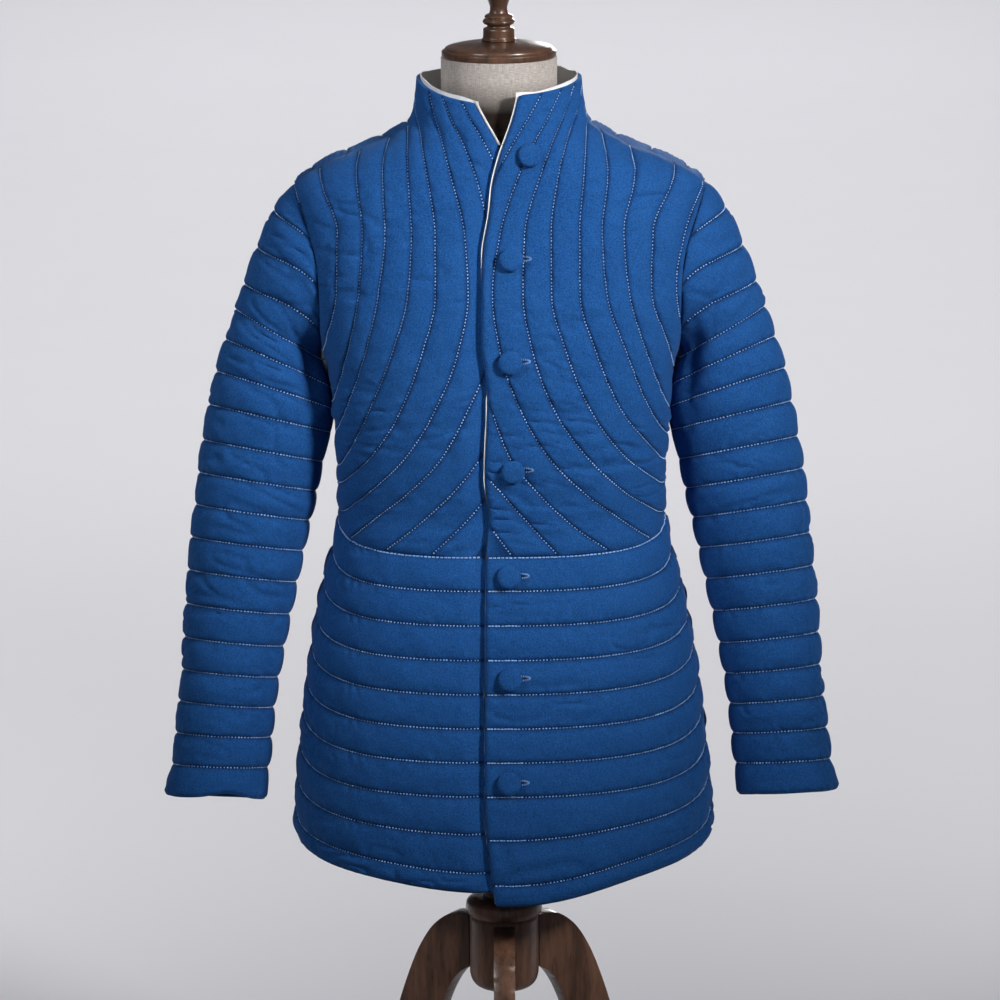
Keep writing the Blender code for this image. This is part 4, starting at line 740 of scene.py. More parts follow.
def skirt_levels():
    """Levels from the hem up, with the place of each within its channel and its row number."""
    lines = skirt_lines()
    found = [(upper + (lower - upper) * step, step, row)
             for row, (upper, lower) in enumerate(zip(lines, lines[1:])) for step in CHANNEL_STEPS]
    found[0] = (found[0][0] - SEAM_GAP / 2, 0.0, 0)
    return (found + [(lines[-1], 0.0, SKIRT_ROWS + 1)])[::-1]


def skirt_ends(side, level, inside, from_seam):
    """Angles between which a skirt panel runs, this far inside its edge and its side seam."""
    if side == "back":
        start = float(at_side(side, level, from_seam))
        return start, 2 * math.pi - start
    return float(at_edge(side, level, inside)), float(at_side(side, level, -from_seam))


def skirt_panel(side, finish):
    """A panel of the skirt, quilted in level rows."""
    layer = {"left": 12, "right": 13, "back": 14}[side]
    columns = round((0.62 if side == "back" else 0.33) / PITCH)
    wall, outer, inner = Wall(), [], []
    levels = skirt_levels()
    for place, (level, across, row_number) in enumerate(levels):
        start, end = skirt_ends(side, level, 0.0, SEAM_GAP / 2)
        angle = np.linspace(start, end, columns)
        z = true_height(angle, level, side)
        here = torso_point(angle, z)
        from_start, from_end = apart(here, here[0]), apart(here, here[-1])
        arc = run_of(here)
        swell = PUFF_LOWER * arch(across, SKIRT_DOME) * part_left(0.4, pinch(level - HEM_Z, HEM_PINCH))
        swell = swell * pinch(WAIST_Z - level, WAIST_ROLL)
        swell = swell * edge_share(side, from_start) * part_left(0.3, pinch(from_end, EDGE_PINCH))
        swell = swell * fullness(arc, np.full(columns, row_number), layer)
        relief = fine_relief(arc, z, arc, np.full(columns, across), SKIRT_DOME, ROW_PITCH, layer, layer - 1)
        relief = relief * pinch(swell, 0.0015) * ease(np.minimum(from_start, from_end) / SOFT_END)
        under = lap(side, angle, z)
        out = (swell + relief) * (1 - under) - LAP_DEPTH * under
        outer.append(wall.row(side, angle, level, out, arc, valley=valley(across)))
        if place % 4 == 0 or place == len(levels) - 1:
            inner.append(inner_row(wall, side, np.linspace(start, end, columns // 2), level, 0.19))
    wall.close(outer, inner, (DOWN, FLAT, TOWARDS_EDGE[side], FLAT))
    return wall.piece("back_skirt" if side == "back" else "front_%s_skirt" % side, finish)


# ------------------------------------------------------------------ sleeves
def seam_row(turn):
    """Row number at which the armhole cuts the sleeve; turn 0 is the shoulder tip."""
    return UNDERARM_ROW * (1 - np.cos(turn)) / 2


def armhole_point(turn):
    """Point of the armhole on the torso's surface, left side."""
    z = ARMHOLE_Z + ARMHOLE_HALF_HEIGHT * np.cos(turn)
    ahead = np.sin(turn)
    y = np.where(ahead > 0, -ARMHOLE_FRONT, -ARMHOLE_BACK) * ahead
    y = np.where(np.abs(y) < SEAM_GAP / 2, 0.0, y)
    y = np.where(ahead >= 0, np.minimum(y, -1e-7), y)
    return torso_point(angle_at_y(y, z), z)


def clear_of_torso(points):
    """Moves sleeve points outwards where they would press into the torso's side."""
    x, y, z = points[..., 0], points[..., 1], points[..., 2]
    part = np.minimum(np.abs(y) / np.where(y < 0, FRONT(z), BACK(z)), 1.0)
    nearest = HALF_WIDTH(z) * (1 - part ** POWER(z)) ** (1 / POWER(z)) + ARM_GAP
    over = (x - nearest) / ARM_GAP_SOFTNESS
    moved = nearest + ARM_GAP_SOFTNESS * np.log1p(np.exp(np.minimum(over, 8.0)))
    return np.stack((np.where(over < 8.0, moved, x), y, z), axis=-1)


def turn_from(turn, middle):
    """Angle round a sleeve from `middle`, the short way."""
    return (turn - middle + math.pi) % (2 * math.pi) - math.pi


def dent(turn, row, shape):
    """A soft hollow in a sleeve, as deep as its shape says."""
    return shape.depth * gauss(turn_from(turn, shape.turn), shape.spread) * gauss(row - shape.row, shape.rows)


def sleeve_ring(turn, row, side):
    """Points of the sleeve's tube at row numbers from the first full row down."""
    turn, row = as_arrays(turn, row)
    at = {name: column(row) for name, column in SLEEVE_AT.items()}
    shift_x, shift_z = SLEEVE_SHIFT[side]
    along = np.maximum(row - FIRST_FULL_ROW, 0.0) / (SLEEVE_ROWS + 1 - FIRST_FULL_ROW)
    lean, nod = np.radians(at["tilt"]), np.radians(at["pitch"])
    fold = 1 - dent(turn, row, FOLD)
    across = np.cos(turn) * at["half_width"] * fold
    ahead = np.sin(turn) * at["half_depth"] * fold
    arched = CUFF_LIFT[side] * gauss(turn_from(turn, CUFF_LIFT_TURN), CUFF_LIFT_SPREAD)
    ripple = CUFF_WAVE * noise(1.6 * np.cos(turn) + 60, 1.6 * np.sin(turn) + 60, 20)
    return clear_of_torso(np.stack((
        at["x"] + shift_x * along + across * np.cos(lean) - dent(turn, row, TUCK),
        at["y"] - ahead * np.cos(nod),
        at["z"] + shift_z * along + across * np.sin(lean) + ahead * np.sin(nod)
        + ease(row - SLEEVE_ROWS) * (arched + ripple),
    ), axis=-1))


def sleeve_point(turn, row, side):
    """Stitching surface of the left sleeve, from the armhole to the cuff."""
    turn, row = as_arrays(turn, row)
    first = seam_row(turn)
    t = np.clip((row - first) / (FIRST_FULL_ROW - first), 0.0, 1.0)[..., None]
    start = armhole_point(turn) + np.array((SEAM_OFFSET, 0.0, 0.0))
    finish = sleeve_ring(turn, FIRST_FULL_ROW, side)
    length = np.linalg.norm(finish - start, axis=-1, keepdims=True)
    slope = -SHOULDER_SLOPE * (1 + np.cos(turn)) / 2
    leave = unit(np.stack((np.ones(turn.shape), np.zeros(turn.shape), slope), axis=-1))
    leave = leave * length * SHOULDER_PULL
    step = 0.25
    arrive = (sleeve_ring(turn, FIRST_FULL_ROW + step, side) - finish) / step
    arrive = arrive * np.minimum(FIRST_FULL_ROW - first, ARRIVE_ROWS)[..., None]
    head = (start * (1 + 2 * t) * (1 - t) ** 2 + leave * t * (1 - t) ** 2
            + finish * t * t * (3 - 2 * t) - arrive * t * t * (1 - t))
    return np.where((row >= FIRST_FULL_ROW)[..., None], sleeve_ring(turn, row, side), head)


def sleeve_outward(turn, row, side):
    """Outward direction: towards the rim of the armhole at the seam, square to the cloth below."""
    step = 0.02
    around = sleeve_point(turn + step, row, side) - sleeve_point(turn - step, row, side)
    low = np.maximum(row - step, seam_row(turn))
    square = unit(np.cross(around, sleeve_point(turn, low + 2 * step, side) - sleeve_point(turn, low, side)))
    turn, row = as_arrays(turn, row)
    rim = np.stack((np.zeros(turn.shape), -np.sin(turn), np.cos(turn)), axis=-1)
    blend = ease((row - seam_row(turn)) / 0.5)[..., None]
    return unit(rim * (1 - blend) + square * blend)


def sleeve_out(turn, row, across, side):
    """How far a sleeve row stands out from its stitching, with relief that fades on its inner side."""
    layer = {"left": 5, "right": 9}[side]
    inward = gauss(np.abs(turn) - math.pi, PRESSED_SPREAD)
    press = 1 - PRESSED * inward * ease((PRESSED_END_ROW - row) / PRESSED_ROWS)
    from_seam = row - seam_row(turn)
    head = pinch(from_seam, SLEEVE_SEAM_PINCH) * part_left(0.45, ease(from_seam))
    swollen = np.where(row > SLEEVE_ROWS, 0.55 * (row - SLEEVE_ROWS), across)
    rise = PUFF_LOWER * arch(swollen, SLEEVE_DOME) * press * head
    rise = rise * part_left(0.55, ease((SLEEVE_ROWS + 1 - row) / CUFF_PINCH))
    shown = ease((math.pi * 0.94 - np.abs(turn)) / 0.5)
    around = turn * SLEEVE_GIRTH
    relief = fine_relief(around, row * ROW_PITCH, around, np.full(turn.shape, across), SLEEVE_DOME, ROW_PITCH,
                         layer, layer + 1, SLEEVE_SLANT)
    rise = rise * (1 + (fullness(around, row, layer + 2) - 1) * shown)
    return rise + relief * shown * pinch(rise, 0.0015)


def sleeve(side, finish):
    """A padded tube, quilted in rings, sewn into the armhole."""
    count = round(0.36 / PITCH) // 2 * 2
    turns = np.linspace(-math.pi, math.pi, count + 1)
    wall = Wall()

    def stacked(rows, outer):
        """Rings from the armhole down; points above the armhole's seam are shared."""
        ring = [None] * (count + 1)
        on_seam = [False] * (count + 1)
        found = []
        for row, across in rows:
            at = np.maximum(row, seam_row(turns))
            offset = CUFF_FLARE * ease(at - SLEEVE_ROWS) - WALL
            if outer:
                offset = sleeve_out(turns, at, across, side)
            points = sleeve_point(turns, at, side) + sleeve_outward(turns, at, side) * offset[:, None]
            # painted shade along the sleeve's lines of stitching, on its outer face
            deep = valley(across) if outer and 0 < row <= SLEEVE_ROWS + 0.5 else 0.0
            flat = np.stack((turns * SLEEVE_GIRTH, at * ROW_PITCH), axis=-1)
            added = wall.add(mirrored(points, side), flat, deep)
            ring = [old if held and above > row else new
                    for old, held, above, new in zip(ring, on_seam, at, added)]
            on_seam = (at > row).tolist()
            found.append((list(range(count + 1)), ring))
        return found

    steps = [(row + step, step) for row in range(SLEEVE_ROWS + 1) for step in CHANNEL_STEPS]
    outer = stacked(steps + [(SLEEVE_ROWS + 1.0, 0.0)], True)
    inner = stacked([(row / 2, 0.0) for row in range(2 * SLEEVE_ROWS + 3)], False)
    wall.close(outer, inner, (FLAT, (0.08, 0.0, -1.0)))
    return wall.piece("sleeve_%s" % side, finish)


# ------------------------------------------------------------------ lining, where it shows
LINING_LAYER = {"left": 1, "right": 2, "back": 3}


def lining_strip(node, side, levels, angles_at, finish, top_peep=0.0):
    """A strip of lining that follows the inside of a panel and shows past its edge."""
    wall, outer, inner = Wall(), [], []
    for level in levels:
        angle = angles_at(level)
        z = true_height(angle, level, side)
        face = -WALL - LINING_GAP - LAP_DEPTH * lap(side, angle, z)
        if side in EDGE_AT:
            past = edge_x(side, z) - torso_point(angle, z)[..., 0]
            face = face + WRAP_LIFT * ease((past - RIM_BULGE - 0.0002) / 0.0007)
        rise = top_peep if level == levels[-1] else 0.0
        lift = rise * (0.85 + 0.35 * noise(angle / 0.25, 0.0, LINING_LAYER[side]))
        for rows, out in ((outer, face), (inner, face - LINING)):
            rows.append(wall.row(side, angle, level, out, angle * 0.17, lift=lift))
    wall.close(outer, inner, [FLAT] * 4)
    return wall.piece(node, finish, "natural_lining")


def lining_angles(side, level, columns, width=None):
    """Angles across a lining strip, from past the panel's front edge."""
    peep = LINING_PEEP * (1 + 0.15 * float(noise(level / 0.035, 0.0, 1)))
    if side == "left":
        peep = float(PEEP_AT(level)) + 0.0002 * float(noise(level / 0.012, 0.0, 1))
    start, first = [float(at_edge(side, level, inside)) for inside in (-peep, WRAP_WIDTH - peep)]
    end = float(at_edge(side, level, width) if width else at_side(side, level, -LINING_SIDE_GAP))
    return np.concatenate((np.linspace(start, first, 9)[:-1], np.linspace(first, end, columns)))


def linings(finish):
    """Lining inside the collar and along the front edges."""
    def back_angles(level):
        start = float(angle_at_y(LINING_SIDE_GAP, level))
        return np.linspace(start, 2 * math.pi - start, 90)

    collar = np.arange(NECK_BASE_Z, COLLAR_TOP_Z, 0.0035).tolist() + [COLLAR_TOP_Z]
    chest = np.arange(WAIST_Z + SEAM_GAP / 2, NECK_BASE_Z - 0.002, 0.004).tolist() + [NECK_BASE_Z - 0.0005]
    skirt = np.arange(HEM_Z + 0.002, WAIST_Z - 0.002, 0.004).tolist() + [WAIST_Z - SEAM_GAP / 2]
    made = [lining_strip("lining_collar_%s" % side, side, collar,
                         lambda level: lining_angles(side, level, 60), finish, LINING_PEEP)
            for side in ("right", "left")]
    made.append(lining_strip("lining_collar_back", "back", collar, back_angles, finish, LINING_PEEP))
    return made + [lining_strip("lining_edge_%s" % name, "left", levels,
                                lambda level: lining_angles("left", level, 9, EDGE_LINING), finish)
                   for name, levels in (("upper", chest), ("skirt", skirt))]


# ------------------------------------------------------------------ stitching
# A stitch is a small grain of thread: its corners along, across and up, and its triangles.
GRAIN = np.array([(-0.5, 0, 0), (-0.32, -0.5, 0), (-0.32, 0.5, 0), (-0.3, 0, 1), (0.32, -0.5, 0),
                  (0.32, 0.5, 0), (0.3, 0, 1), (0.5, 0, 0)])
GRAIN_FACES = np.array([(0, 1, 3), (0, 3, 2), (1, 4, 6), (1, 6, 3), (3, 6, 5), (3, 5, 2),
                        (4, 7, 6), (7, 5, 6), (0, 2, 1), (1, 2, 5), (1, 5, 4), (4, 5, 7)])


def surface_tree(panel):
    return BVHTree.FromPolygons([vertex.co for vertex in panel.data.vertices],
                                [tuple(face.vertices) for face in panel.data.polygons])


def on_cloth(tree, point, outward):
    """Where a line along `outward` through the point meets the cloth's face."""
    return tree.ray_cast(Vector(point) + Vector(outward) * 0.02, -Vector(outward), 0.03)[0]


def stitches(name, places, finish, panel):
    """Grains of thread on a panel; each place is (middle, along, outward, length, width)."""
    tree = surface_tree(panel)
    laid = []
    for middle, along, outward, length, width in places:
        reach = unit(along) * length * 0.35
        ends = [on_cloth(tree, middle + side * reach, outward) for side in (-1, 1)]
        if all(ends):
            laid.append(((ends[0] + ends[1]) / 2, ends[1] - ends[0], outward, length, width))
    middle, along, outward, length, width = [np.array(item, dtype=float) for item in zip(*laid)]
    along = unit(along)
    outward = unit(outward - along * np.sum(along * outward, axis=-1, keepdims=True))
    across = np.cross(outward, along)
    points = (middle[:, None, :]
              + along[:, None, :] * GRAIN[None, :, 0:1] * length[:, None, None]
              + across[:, None, :] * GRAIN[None, :, 1:2] * width[:, None, None]
              + outward[:, None, :] * (GRAIN[None, :, 2:3] * STITCH_HEIGHT - 0.00015)).reshape(-1, 3)
    faces = (GRAIN_FACES[None] + len(GRAIN) * np.arange(len(middle))[:, None, None]).reshape(-1, 3)
    return make_mesh(name, points, faces.tolist(), finish, points[:, :2], crease=70.0, closed=False)


def along_line(points, outward, seed, pitch=STITCH_PITCH, length=STITCH_LENGTH, width=STITCH_WIDTH):
    """Stitches at an even pitch along a polyline."""
    run = run_of(points)
    count = int(run[-1] / pitch)
    if count < 2:
        return []
    random = np.random.default_rng(seed)
    at = (np.arange(count) + 0.5) * pitch + random.normal(0, 0.00018, count)

    def read(places, values):
        return np.stack([np.interp(places, run, values[:, k]) for k in range(3)], axis=-1)
    start, middle, end = [read(at + shift, points) for shift in (-0.0008, 0.0, 0.0008)]
    lengths = length * random.uniform(0.82, 1.12, count)
    return [(*place, width) for place in zip(middle, end - start, read(at, outward), lengths)]


def runs(keep, shortest):
    """Unbroken runs of the places to keep, as arrays of their numbers."""
    for run in np.split(np.arange(len(keep)), np.where(~keep)[0]):
        run = run[keep[run]]
        if len(run) >= shortest:
            yield run


def chest_stitching(side, panel, finish):
    """Along every line of the upper body between its waist and its end."""
    levels = np.append(np.arange(WAIST_Z + 0.002, COLLAR_TOP_Z - 0.001, 0.002), COLLAR_TOP_Z - 0.0003)
    back = side == "back"
    ends = chest_ends(side, levels)
    low, high = np.minimum(*ends), np.maximum(*ends)
    borders = [shell_point(end, levels, 0.0, side) for end in ends]
    places = []
    for number in range(len(LINES[side])):
        angle = settle(levels, side, lambda z: angle_at_x(line_distance(side, number, z), z, back))
        points, outward = shell_frame(angle, levels, side)
        clear = np.minimum(*[apart(points, border) for border in borders])
        under = lap(side, angle, true_height(angle, levels, side))
        keep = (angle > low) & (angle < high) & (clear > 0.003) & (under < LAP_STITCHED)
        for run in runs(keep, 4):
            for hand in ((side, "right") if back else (side,)):
                places += along_line(mirrored(points[run], hand), mirrored(outward[run], hand),
                                     100 * number + len(run))
    return stitches("stitching_%s_upper" % side, places, finish, panel)


def skirt_stitching(side, panel, finish):
    """Along every row of the skirt, with heavier thread at the waist seam and the front edge."""
    places = []
    for row, level in enumerate(skirt_lines()[:-1]):
        angle = np.linspace(*skirt_ends(side, level, 0.0015, 0.001), 500)
        keep = lap(side, angle, true_height(angle, level, side)) < LAP_STITCHED
        found = shell_frame(angle, level - (0.0 if row else 0.0011), side)
        points, outward = [mirrored(values[keep], side) for values in found]
        if row:
            places += along_line(points, outward, row)
        else:
            places += along_line(points, outward, 7, 0.0042, 0.0040, BOLD_WIDTH)
        if side == "left" and row:
            places += along_line(points[:40], outward[:40], row, 0.0034, 0.0034, BOLD_WIDTH)
    return stitches("stitching_%s_skirt" % side, places, finish, panel)


def sleeve_stitching(side, panel, finish):
    turns = np.linspace(-math.pi, math.pi, 360)
    first = seam_row(turns)
    places = []
    for row in range(1, SLEEVE_ROWS + 1):
        at = np.maximum(row, first)
        points = mirrored(sleeve_point(turns, at, side), side)
        outward = mirrored(sleeve_outward(turns, at, side), side)
        for run in runs(first < row - 0.12, 5):
            places += along_line(points[run], outward[run], 40 * row)
    return stitches("stitching_sleeve_%s" % side, places, finish, panel)


# ------------------------------------------------------------------ buttons and buttonholes
def around_hole(spot, half_length, half_height):
    """Turn, point and outward direction of each stitch around a button's hole."""
    for step in range(HOLE_STITCHES):
        turn = 2 * math.pi * step / HOLE_STITCHES
        x = spot.x + HOLE_SHIFT + half_length * math.cos(turn)
        z = spot.z + HOLE_RISE + half_height * math.sin(turn)
        yield turn, *shell_frame(float(angle_at_x(x, z)), z, "left")


def buttonholes(name, panel, numbers, thread, dark):
    """Worked buttonholes that reach out from beneath the buttons: stitches around a slit, and in each slit a
    thin near-black sheet of painted shade.
    """
    tree = surface_tree(panel)
    places, points, faces = [], [], []
    for spot in [BUTTON_PLACES[number - 1] for number in numbers]:
        for turn, base, outward in around_hole(spot, HOLE_LENGTH / 2, HOLE_HEIGHT / 2):
            away = np.array((math.cos(turn) ** 5, 0.0, math.sin(turn)))
            places.append((base, away, outward, HOLE_HEIGHT * 0.52, STITCH_WIDTH * 0.95))
        # a thin near-black sheet in the slit: painted shade for its opening
        first = len(points)
        for _, base, outward in around_hole(spot, HOLE_LENGTH * 0.42, 0.0007):
            on = on_cloth(tree, base, outward)
            points += [on + Vector(outward) * 0.0006, on - Vector(outward) * 0.0003]
        top, under = [list(range(first + start, len(points), 2)) for start in (0, 1)]
        faces += [top, under[::-1]]
        faces += [(top[here - 1], under[here - 1], under[here], top[here]) for here in range(HOLE_STITCHES)]
    return [stitches(name + "_stitching", places, thread, panel),
            make_mesh(name + "_slit_shade_sheets", points, faces, dark, np.array(points)[:, :2])]


def seat_height(cloth, foot, outward, radius):
    """How far the cloth stands out beneath a button's shank."""
    side_step = outward.cross(Vector((0, 0, 1))).normalized()
    up_step = side_step.cross(outward).normalized()
    highest = -0.05
    for step in range(13):
        turn = 2 * math.pi * step / 12
        reach = radius * (1.1 if step < 12 else 0.0)
        offset = side_step * math.cos(turn) * reach + up_step * math.sin(turn) * reach
        hit = cloth.ray_cast(foot + offset + outward * 0.05, -outward)[0]
        if hit is not None:
            highest = max(highest, (hit - foot).dot(outward))
    return highest


def ring_faces(rings, segments):
    """Faces between neighbouring rings of points."""
    return [(low + step, low + after, low + segments + after, low + segments + step)
            for low in range(0, (rings - 1) * segments, segments)
            for step, after in zip(range(segments), [*range(1, segments), 0])]


def button_mesh(number, segments=72):
    """A flat-topped button covered with gathered cloth, on a short shank."""
    rim = SHANK_HEIGHT + BUTTON_HEIGHT * 0.42
    top = SHANK_HEIGHT + BUTTON_HEIGHT
    profile = [(0.0, 0.0), (0.0, SHANK_RADIUS), (SHANK_HEIGHT * 0.9, SHANK_RADIUS * 0.94),
               (SHANK_HEIGHT + 0.0002, SHANK_RADIUS * 1.1), (SHANK_HEIGHT + 0.0003, BUTTON_RADIUS * 0.8),
               (SHANK_HEIGHT + 0.0007, BUTTON_RADIUS * 0.9), (rim - 0.0010, BUTTON_RADIUS * 0.985),
               (rim, BUTTON_RADIUS)]
    for degrees in range(12, 91, 6):
        angle = math.radians(degrees)
        profile.append((rim + (top - rim) * math.sin(angle), BUTTON_RADIUS * math.cos(angle) ** 0.62))
    turn = 2 * math.pi * np.arange(segments) / segments
    across, up = np.cos(turn), np.sin(turn)
    points = []
    for height, radius in profile:
        gather = noise(np.arange(segments) * 0.42, number * 3.1, 10) * 0.00022
        reach = np.maximum(radius + gather * gauss(radius - BUTTON_RADIUS * 0.93, 0.0022), 0.0)
        dents = noise(radius * across / 0.005 + 40, radius * up / 0.005 + 9 * number, 11) * 0.00016
        points += np.stack((reach * across, reach * up, height + dents * (height > rim)), axis=-1).tolist()
    return points, ring_faces(len(profile), segments)


def buttons(upper, skirt, finish):
    """Seven covered buttons, each standing on the left front over its buttonhole."""
    trees = {True: surface_tree(upper), False: surface_tree(skirt)}
    made = []
    for number, place in enumerate(BUTTON_PLACES, start=1):
        base, direction = shell_frame(float(angle_at_x(place.x, place.z)), place.z, "left")
        foot, outward = Vector(base), Vector(direction)
        lift = seat_height(trees[place.z > WAIST_Z], foot, outward, SHANK_RADIUS) + SEAM_GAP
        points, faces = button_mesh(number)
        name = "button_%d" % number
        button = make_mesh(name + "_cloth", points, faces, finish, np.array(points)[:, :2], name)
        turn = outward.to_track_quat("Z", "Y").to_matrix().to_4x4()
        button.data.transform(Matrix.Translation(foot + outward * lift) @ turn)
        made.append(button)
    return made


# ------------------------------------------------------------------ dress form
def form_body(finish):
    """Smooth limbless torso, from its neck down to its flat base."""
    turns = 2 * math.pi * np.arange(121) / 120
    close_inset = WALL + LINING + LINING_GAP + FORM_CLEARANCE
    wall = Wall()
    rings = []
    for level in np.concatenate((np.arange(FORM_BASE_Z, 1.28, 0.008), np.arange(1.28, 1.302, 0.003))):
        tight = float(ease((level - TIGHT_Z) / TIGHT_FADE))
        inset = close_inset + (FRONT_SPACE + FORM_SLACK - FORM_CLEARANCE) * (1 - tight)
        front = FRONT_SPACE * np.maximum(np.cos(turns), 0.0) ** 6 * tight
        rings.append(shell_point(turns, level, -inset - front, "form"))
    heights = np.linspace(1.302, NECK_TOP_Z, 18)
    blends = np.interp(heights, [row.z for row in NECK_ROWS], [row.blend for row in NECK_ROWS])
    for z, blend in zip(heights, blends):
        neck = np.stack((np.sin(turns), -np.cos(turns), 0 * turns), axis=-1) * NECK_RADIUS
        wide = shell_point(turns, min(z, NECK_BASE_Z + 0.01), -close_inset, "form")
        rings.append(wide * (1 - blend) + neck * blend)
        rings[-1][:, 2] = z
    rings[0][:, 2] = FORM_BASE_Z
    rings[-1][:, 2] = NECK_TOP_Z
    rows = [(turns.tolist(), wall.add(ring, np.stack((turns * 0.16, ring[:, 2]), axis=-1))) for ring in rings]
    wall.stack(rows)
    for (_, row), height in ((rows[0], FORM_BASE_Z), (rows[-1], NECK_TOP_Z)):
        middle = wall.add([(0.0, 0.0, height)], [(0.0, height)])[0]
        wall.faces += [(here, after, middle) for here, after in zip(row, row[1:])]
    return wall.piece("form_body", finish, "form_linen", "_linen")


# ------------------------------------------------------------------ wooden parts
def soft_curve(spots, find_places):
    """Points of a soft curve through the spots, at the distances found from the spots' own."""
    run = run_of(np.array(spots)).tolist()
    columns = list(zip(*spots))
    return [tuple(smooth_value(run, column, at) for column in columns) for at in find_places(run)]


def turned(node, finish, steps=5, segments=112):
    """A turned piece on the stand's axis, its profile rounded between the table's points."""
    profile = soft_curve(TURNED[node], lambda run: np.unique(np.concatenate(
        [np.linspace(start, end, steps + 1) for start, end in zip(run, run[1:])])))
    profile = [(profile[0][0], 0.0)] + profile + [(profile[-1][0], 0.0)]
    turns = [2 * math.pi * step / segments for step in range(segments)]
    points = [(radius * math.cos(turn), radius * math.sin(turn), z)
              for z, radius in profile for turn in turns]
    flat = [(turn * 0.03, z) for z, _ in profile for turn in turns]
    make_mesh(node + "_wood", points, ring_faces(len(profile), segments), finish, flat, node,
              42.0)


def leg_outline(spots, spacing=0.004):
    """Points along a soft curve through a leg's side view."""
    return soft_curve(spots, lambda run: np.linspace(0.0, run[-1], int(run[-1] / spacing)))


def leg(name, degrees, finish):
    """A curved leg, cut from one board, with rounded edges and a flat foot."""
    outline = leg_outline(LEG_TOP[:-1]) + [LEG_TOP[-1]] + leg_outline(LEG_UNDER)[::-1]
    shaped = bmesh.new()
    face = shaped.faces.new([shaped.verts.new((reach, -LEG_WIDTH / 2, z)) for reach, z in outline])
    grown = bmesh.ops.extrude_face_region(shaped, geom=[face])
    moved = [item for item in grown["geom"] if isinstance(item, bmesh.types.BMVert)]
    bmesh.ops.translate(shaped, verts=moved, vec=(0.0, LEG_WIDTH, 0.0))
    long_edges = [edge for edge in shaped.edges
                  if abs(edge.verts[0].co.y - edge.verts[1].co.y) < 1e-6
                  and min(vert.co.x for vert in edge.verts) > LEG_JOINT_REACH
                  and max(vert.co.z for vert in edge.verts) > 0.001]
    bmesh.ops.bevel(shaped, geom=long_edges, offset=LEG_BEVEL, segments=5, profile=0.5,
                    affect="EDGES", clamp_overlap=True)
    bmesh.ops.triangulate(shaped, faces=shaped.faces)
    shaped.verts.index_update()
    turn = Matrix.Rotation(math.radians(degrees), 3, "Z")
    flat = [(vertex.co.x + vertex.co.y, vertex.co.z) for vertex in shaped.verts]
    points = [tuple(turn @ vertex.co) for vertex in shaped.verts]
    faces = [[vertex.index for vertex in face.verts] for face in shaped.faces]
    shaped.free()
    make_mesh(name + "_wood", points, faces, finish, flat, name, 38.0)


# ------------------------------------------------------------------ materials
class Look:
    """A material's node tree, with short calls for the nodes that the finishes share."""

    def __init__(self, name):
        self.material = bpy.data.materials.new(name)
        self.material.use_nodes = True
        self.tree = self.material.node_tree
        self.flat = self.node("ShaderNodeUVMap", uv_map="cloth").outputs["UV"]    # on the cloth, in metres
        self.solid = self.node("ShaderNodeTexCoord").outputs["Object"]

    def fill(self, node, inputs):
        """Sets each input of a node, or links it where the value is another node's output."""
        for key, value in inputs.items():
            if hasattr(value, "links"):
                self.tree.links.new(value, node.inputs[key])
            else:
                node.inputs[key].default_value = value

    def node(self, kind, inputs=(), **settings):
        made = self.tree.nodes.new(kind)
        for key, value in settings.items():
            setattr(made, key, value)
        self.fill(made, dict(inputs))
        return made

    def finish(self, base, roughness, normal=None, **others):
        """Fills in the shader; underscores stand for the spaces in a socket's name."""
        inputs = {"Base Color": base, "Roughness": roughness}
        inputs.update({name.replace("_", " "): value for name, value in others.items()})
        if normal is not None:
            inputs["Normal"] = normal
        self.fill(self.tree.nodes["Principled BSDF"], inputs)
        return self.material

    def noise(self, vector, scale, detail=2.0, rough=0.5):
        """Noise at one scale, or stretched by a scale for each axis."""
        if isinstance(scale, tuple):
            vector = self.node("ShaderNodeMapping", {"Vector": vector, "Scale": scale}).outputs["Vector"]
            scale = 1.0
        return self.node("ShaderNodeTexNoise", {"Vector": vector, "Scale": scale, "Detail": detail,
                                                "Roughness": rough}).outputs["Fac"]

    def math(self, operation, first, second=0.5):
        return self.node("ShaderNodeMath", {0: first, 1: second}, operation=operation).outputs[0]

    def between(self, factor, low, high, from_low=0.0, from_high=1.0):
        return self.node("ShaderNodeMapRange", {"Value": factor, "From Min": from_low, "From Max": from_high,
                                                "To Min": low, "To Max": high}).outputs["Result"]

    def mix(self, factor, first, second, blend="MIX"):
        first, second = [(*value, 1.0) if isinstance(value, tuple) else value for value in (first, second)]
        return self.node("ShaderNodeMix", {0: factor, 6: first, 7: second}, data_type="RGBA",
                         blend_type=blend).outputs[2]

    def bump(self, height, strength, distance, under=None):
        inputs = {"Height": height, "Strength": strength, "Distance": distance}
        if under is not None:
            inputs["Normal"] = under
        return self.node("ShaderNodeBump", inputs).outputs["Normal"]

    def weave(self, pitch):
        """Height of a plain weave, from -1 to 1, one thread to each half pitch."""
        parts = self.node("ShaderNodeSeparateXYZ", {"Vector": self.flat})
        waves = [self.math("SINE", self.math("MULTIPLY", parts.outputs[axis], 2 * math.pi / pitch))
                 for axis in ("X", "Y")]
        return self.math("MULTIPLY", *waves)

    def threads(self, fine, coarse, detail):
        """Uneven threads that run both ways."""
        return self.math("ADD", *[self.noise(self.flat, scale, detail)
                                  for scale in ((fine, coarse, 1.0), (coarse, fine, 1.0))])


def dimmed(tint, shares):
    return tuple(value * share for value, share in zip(tint, shares))


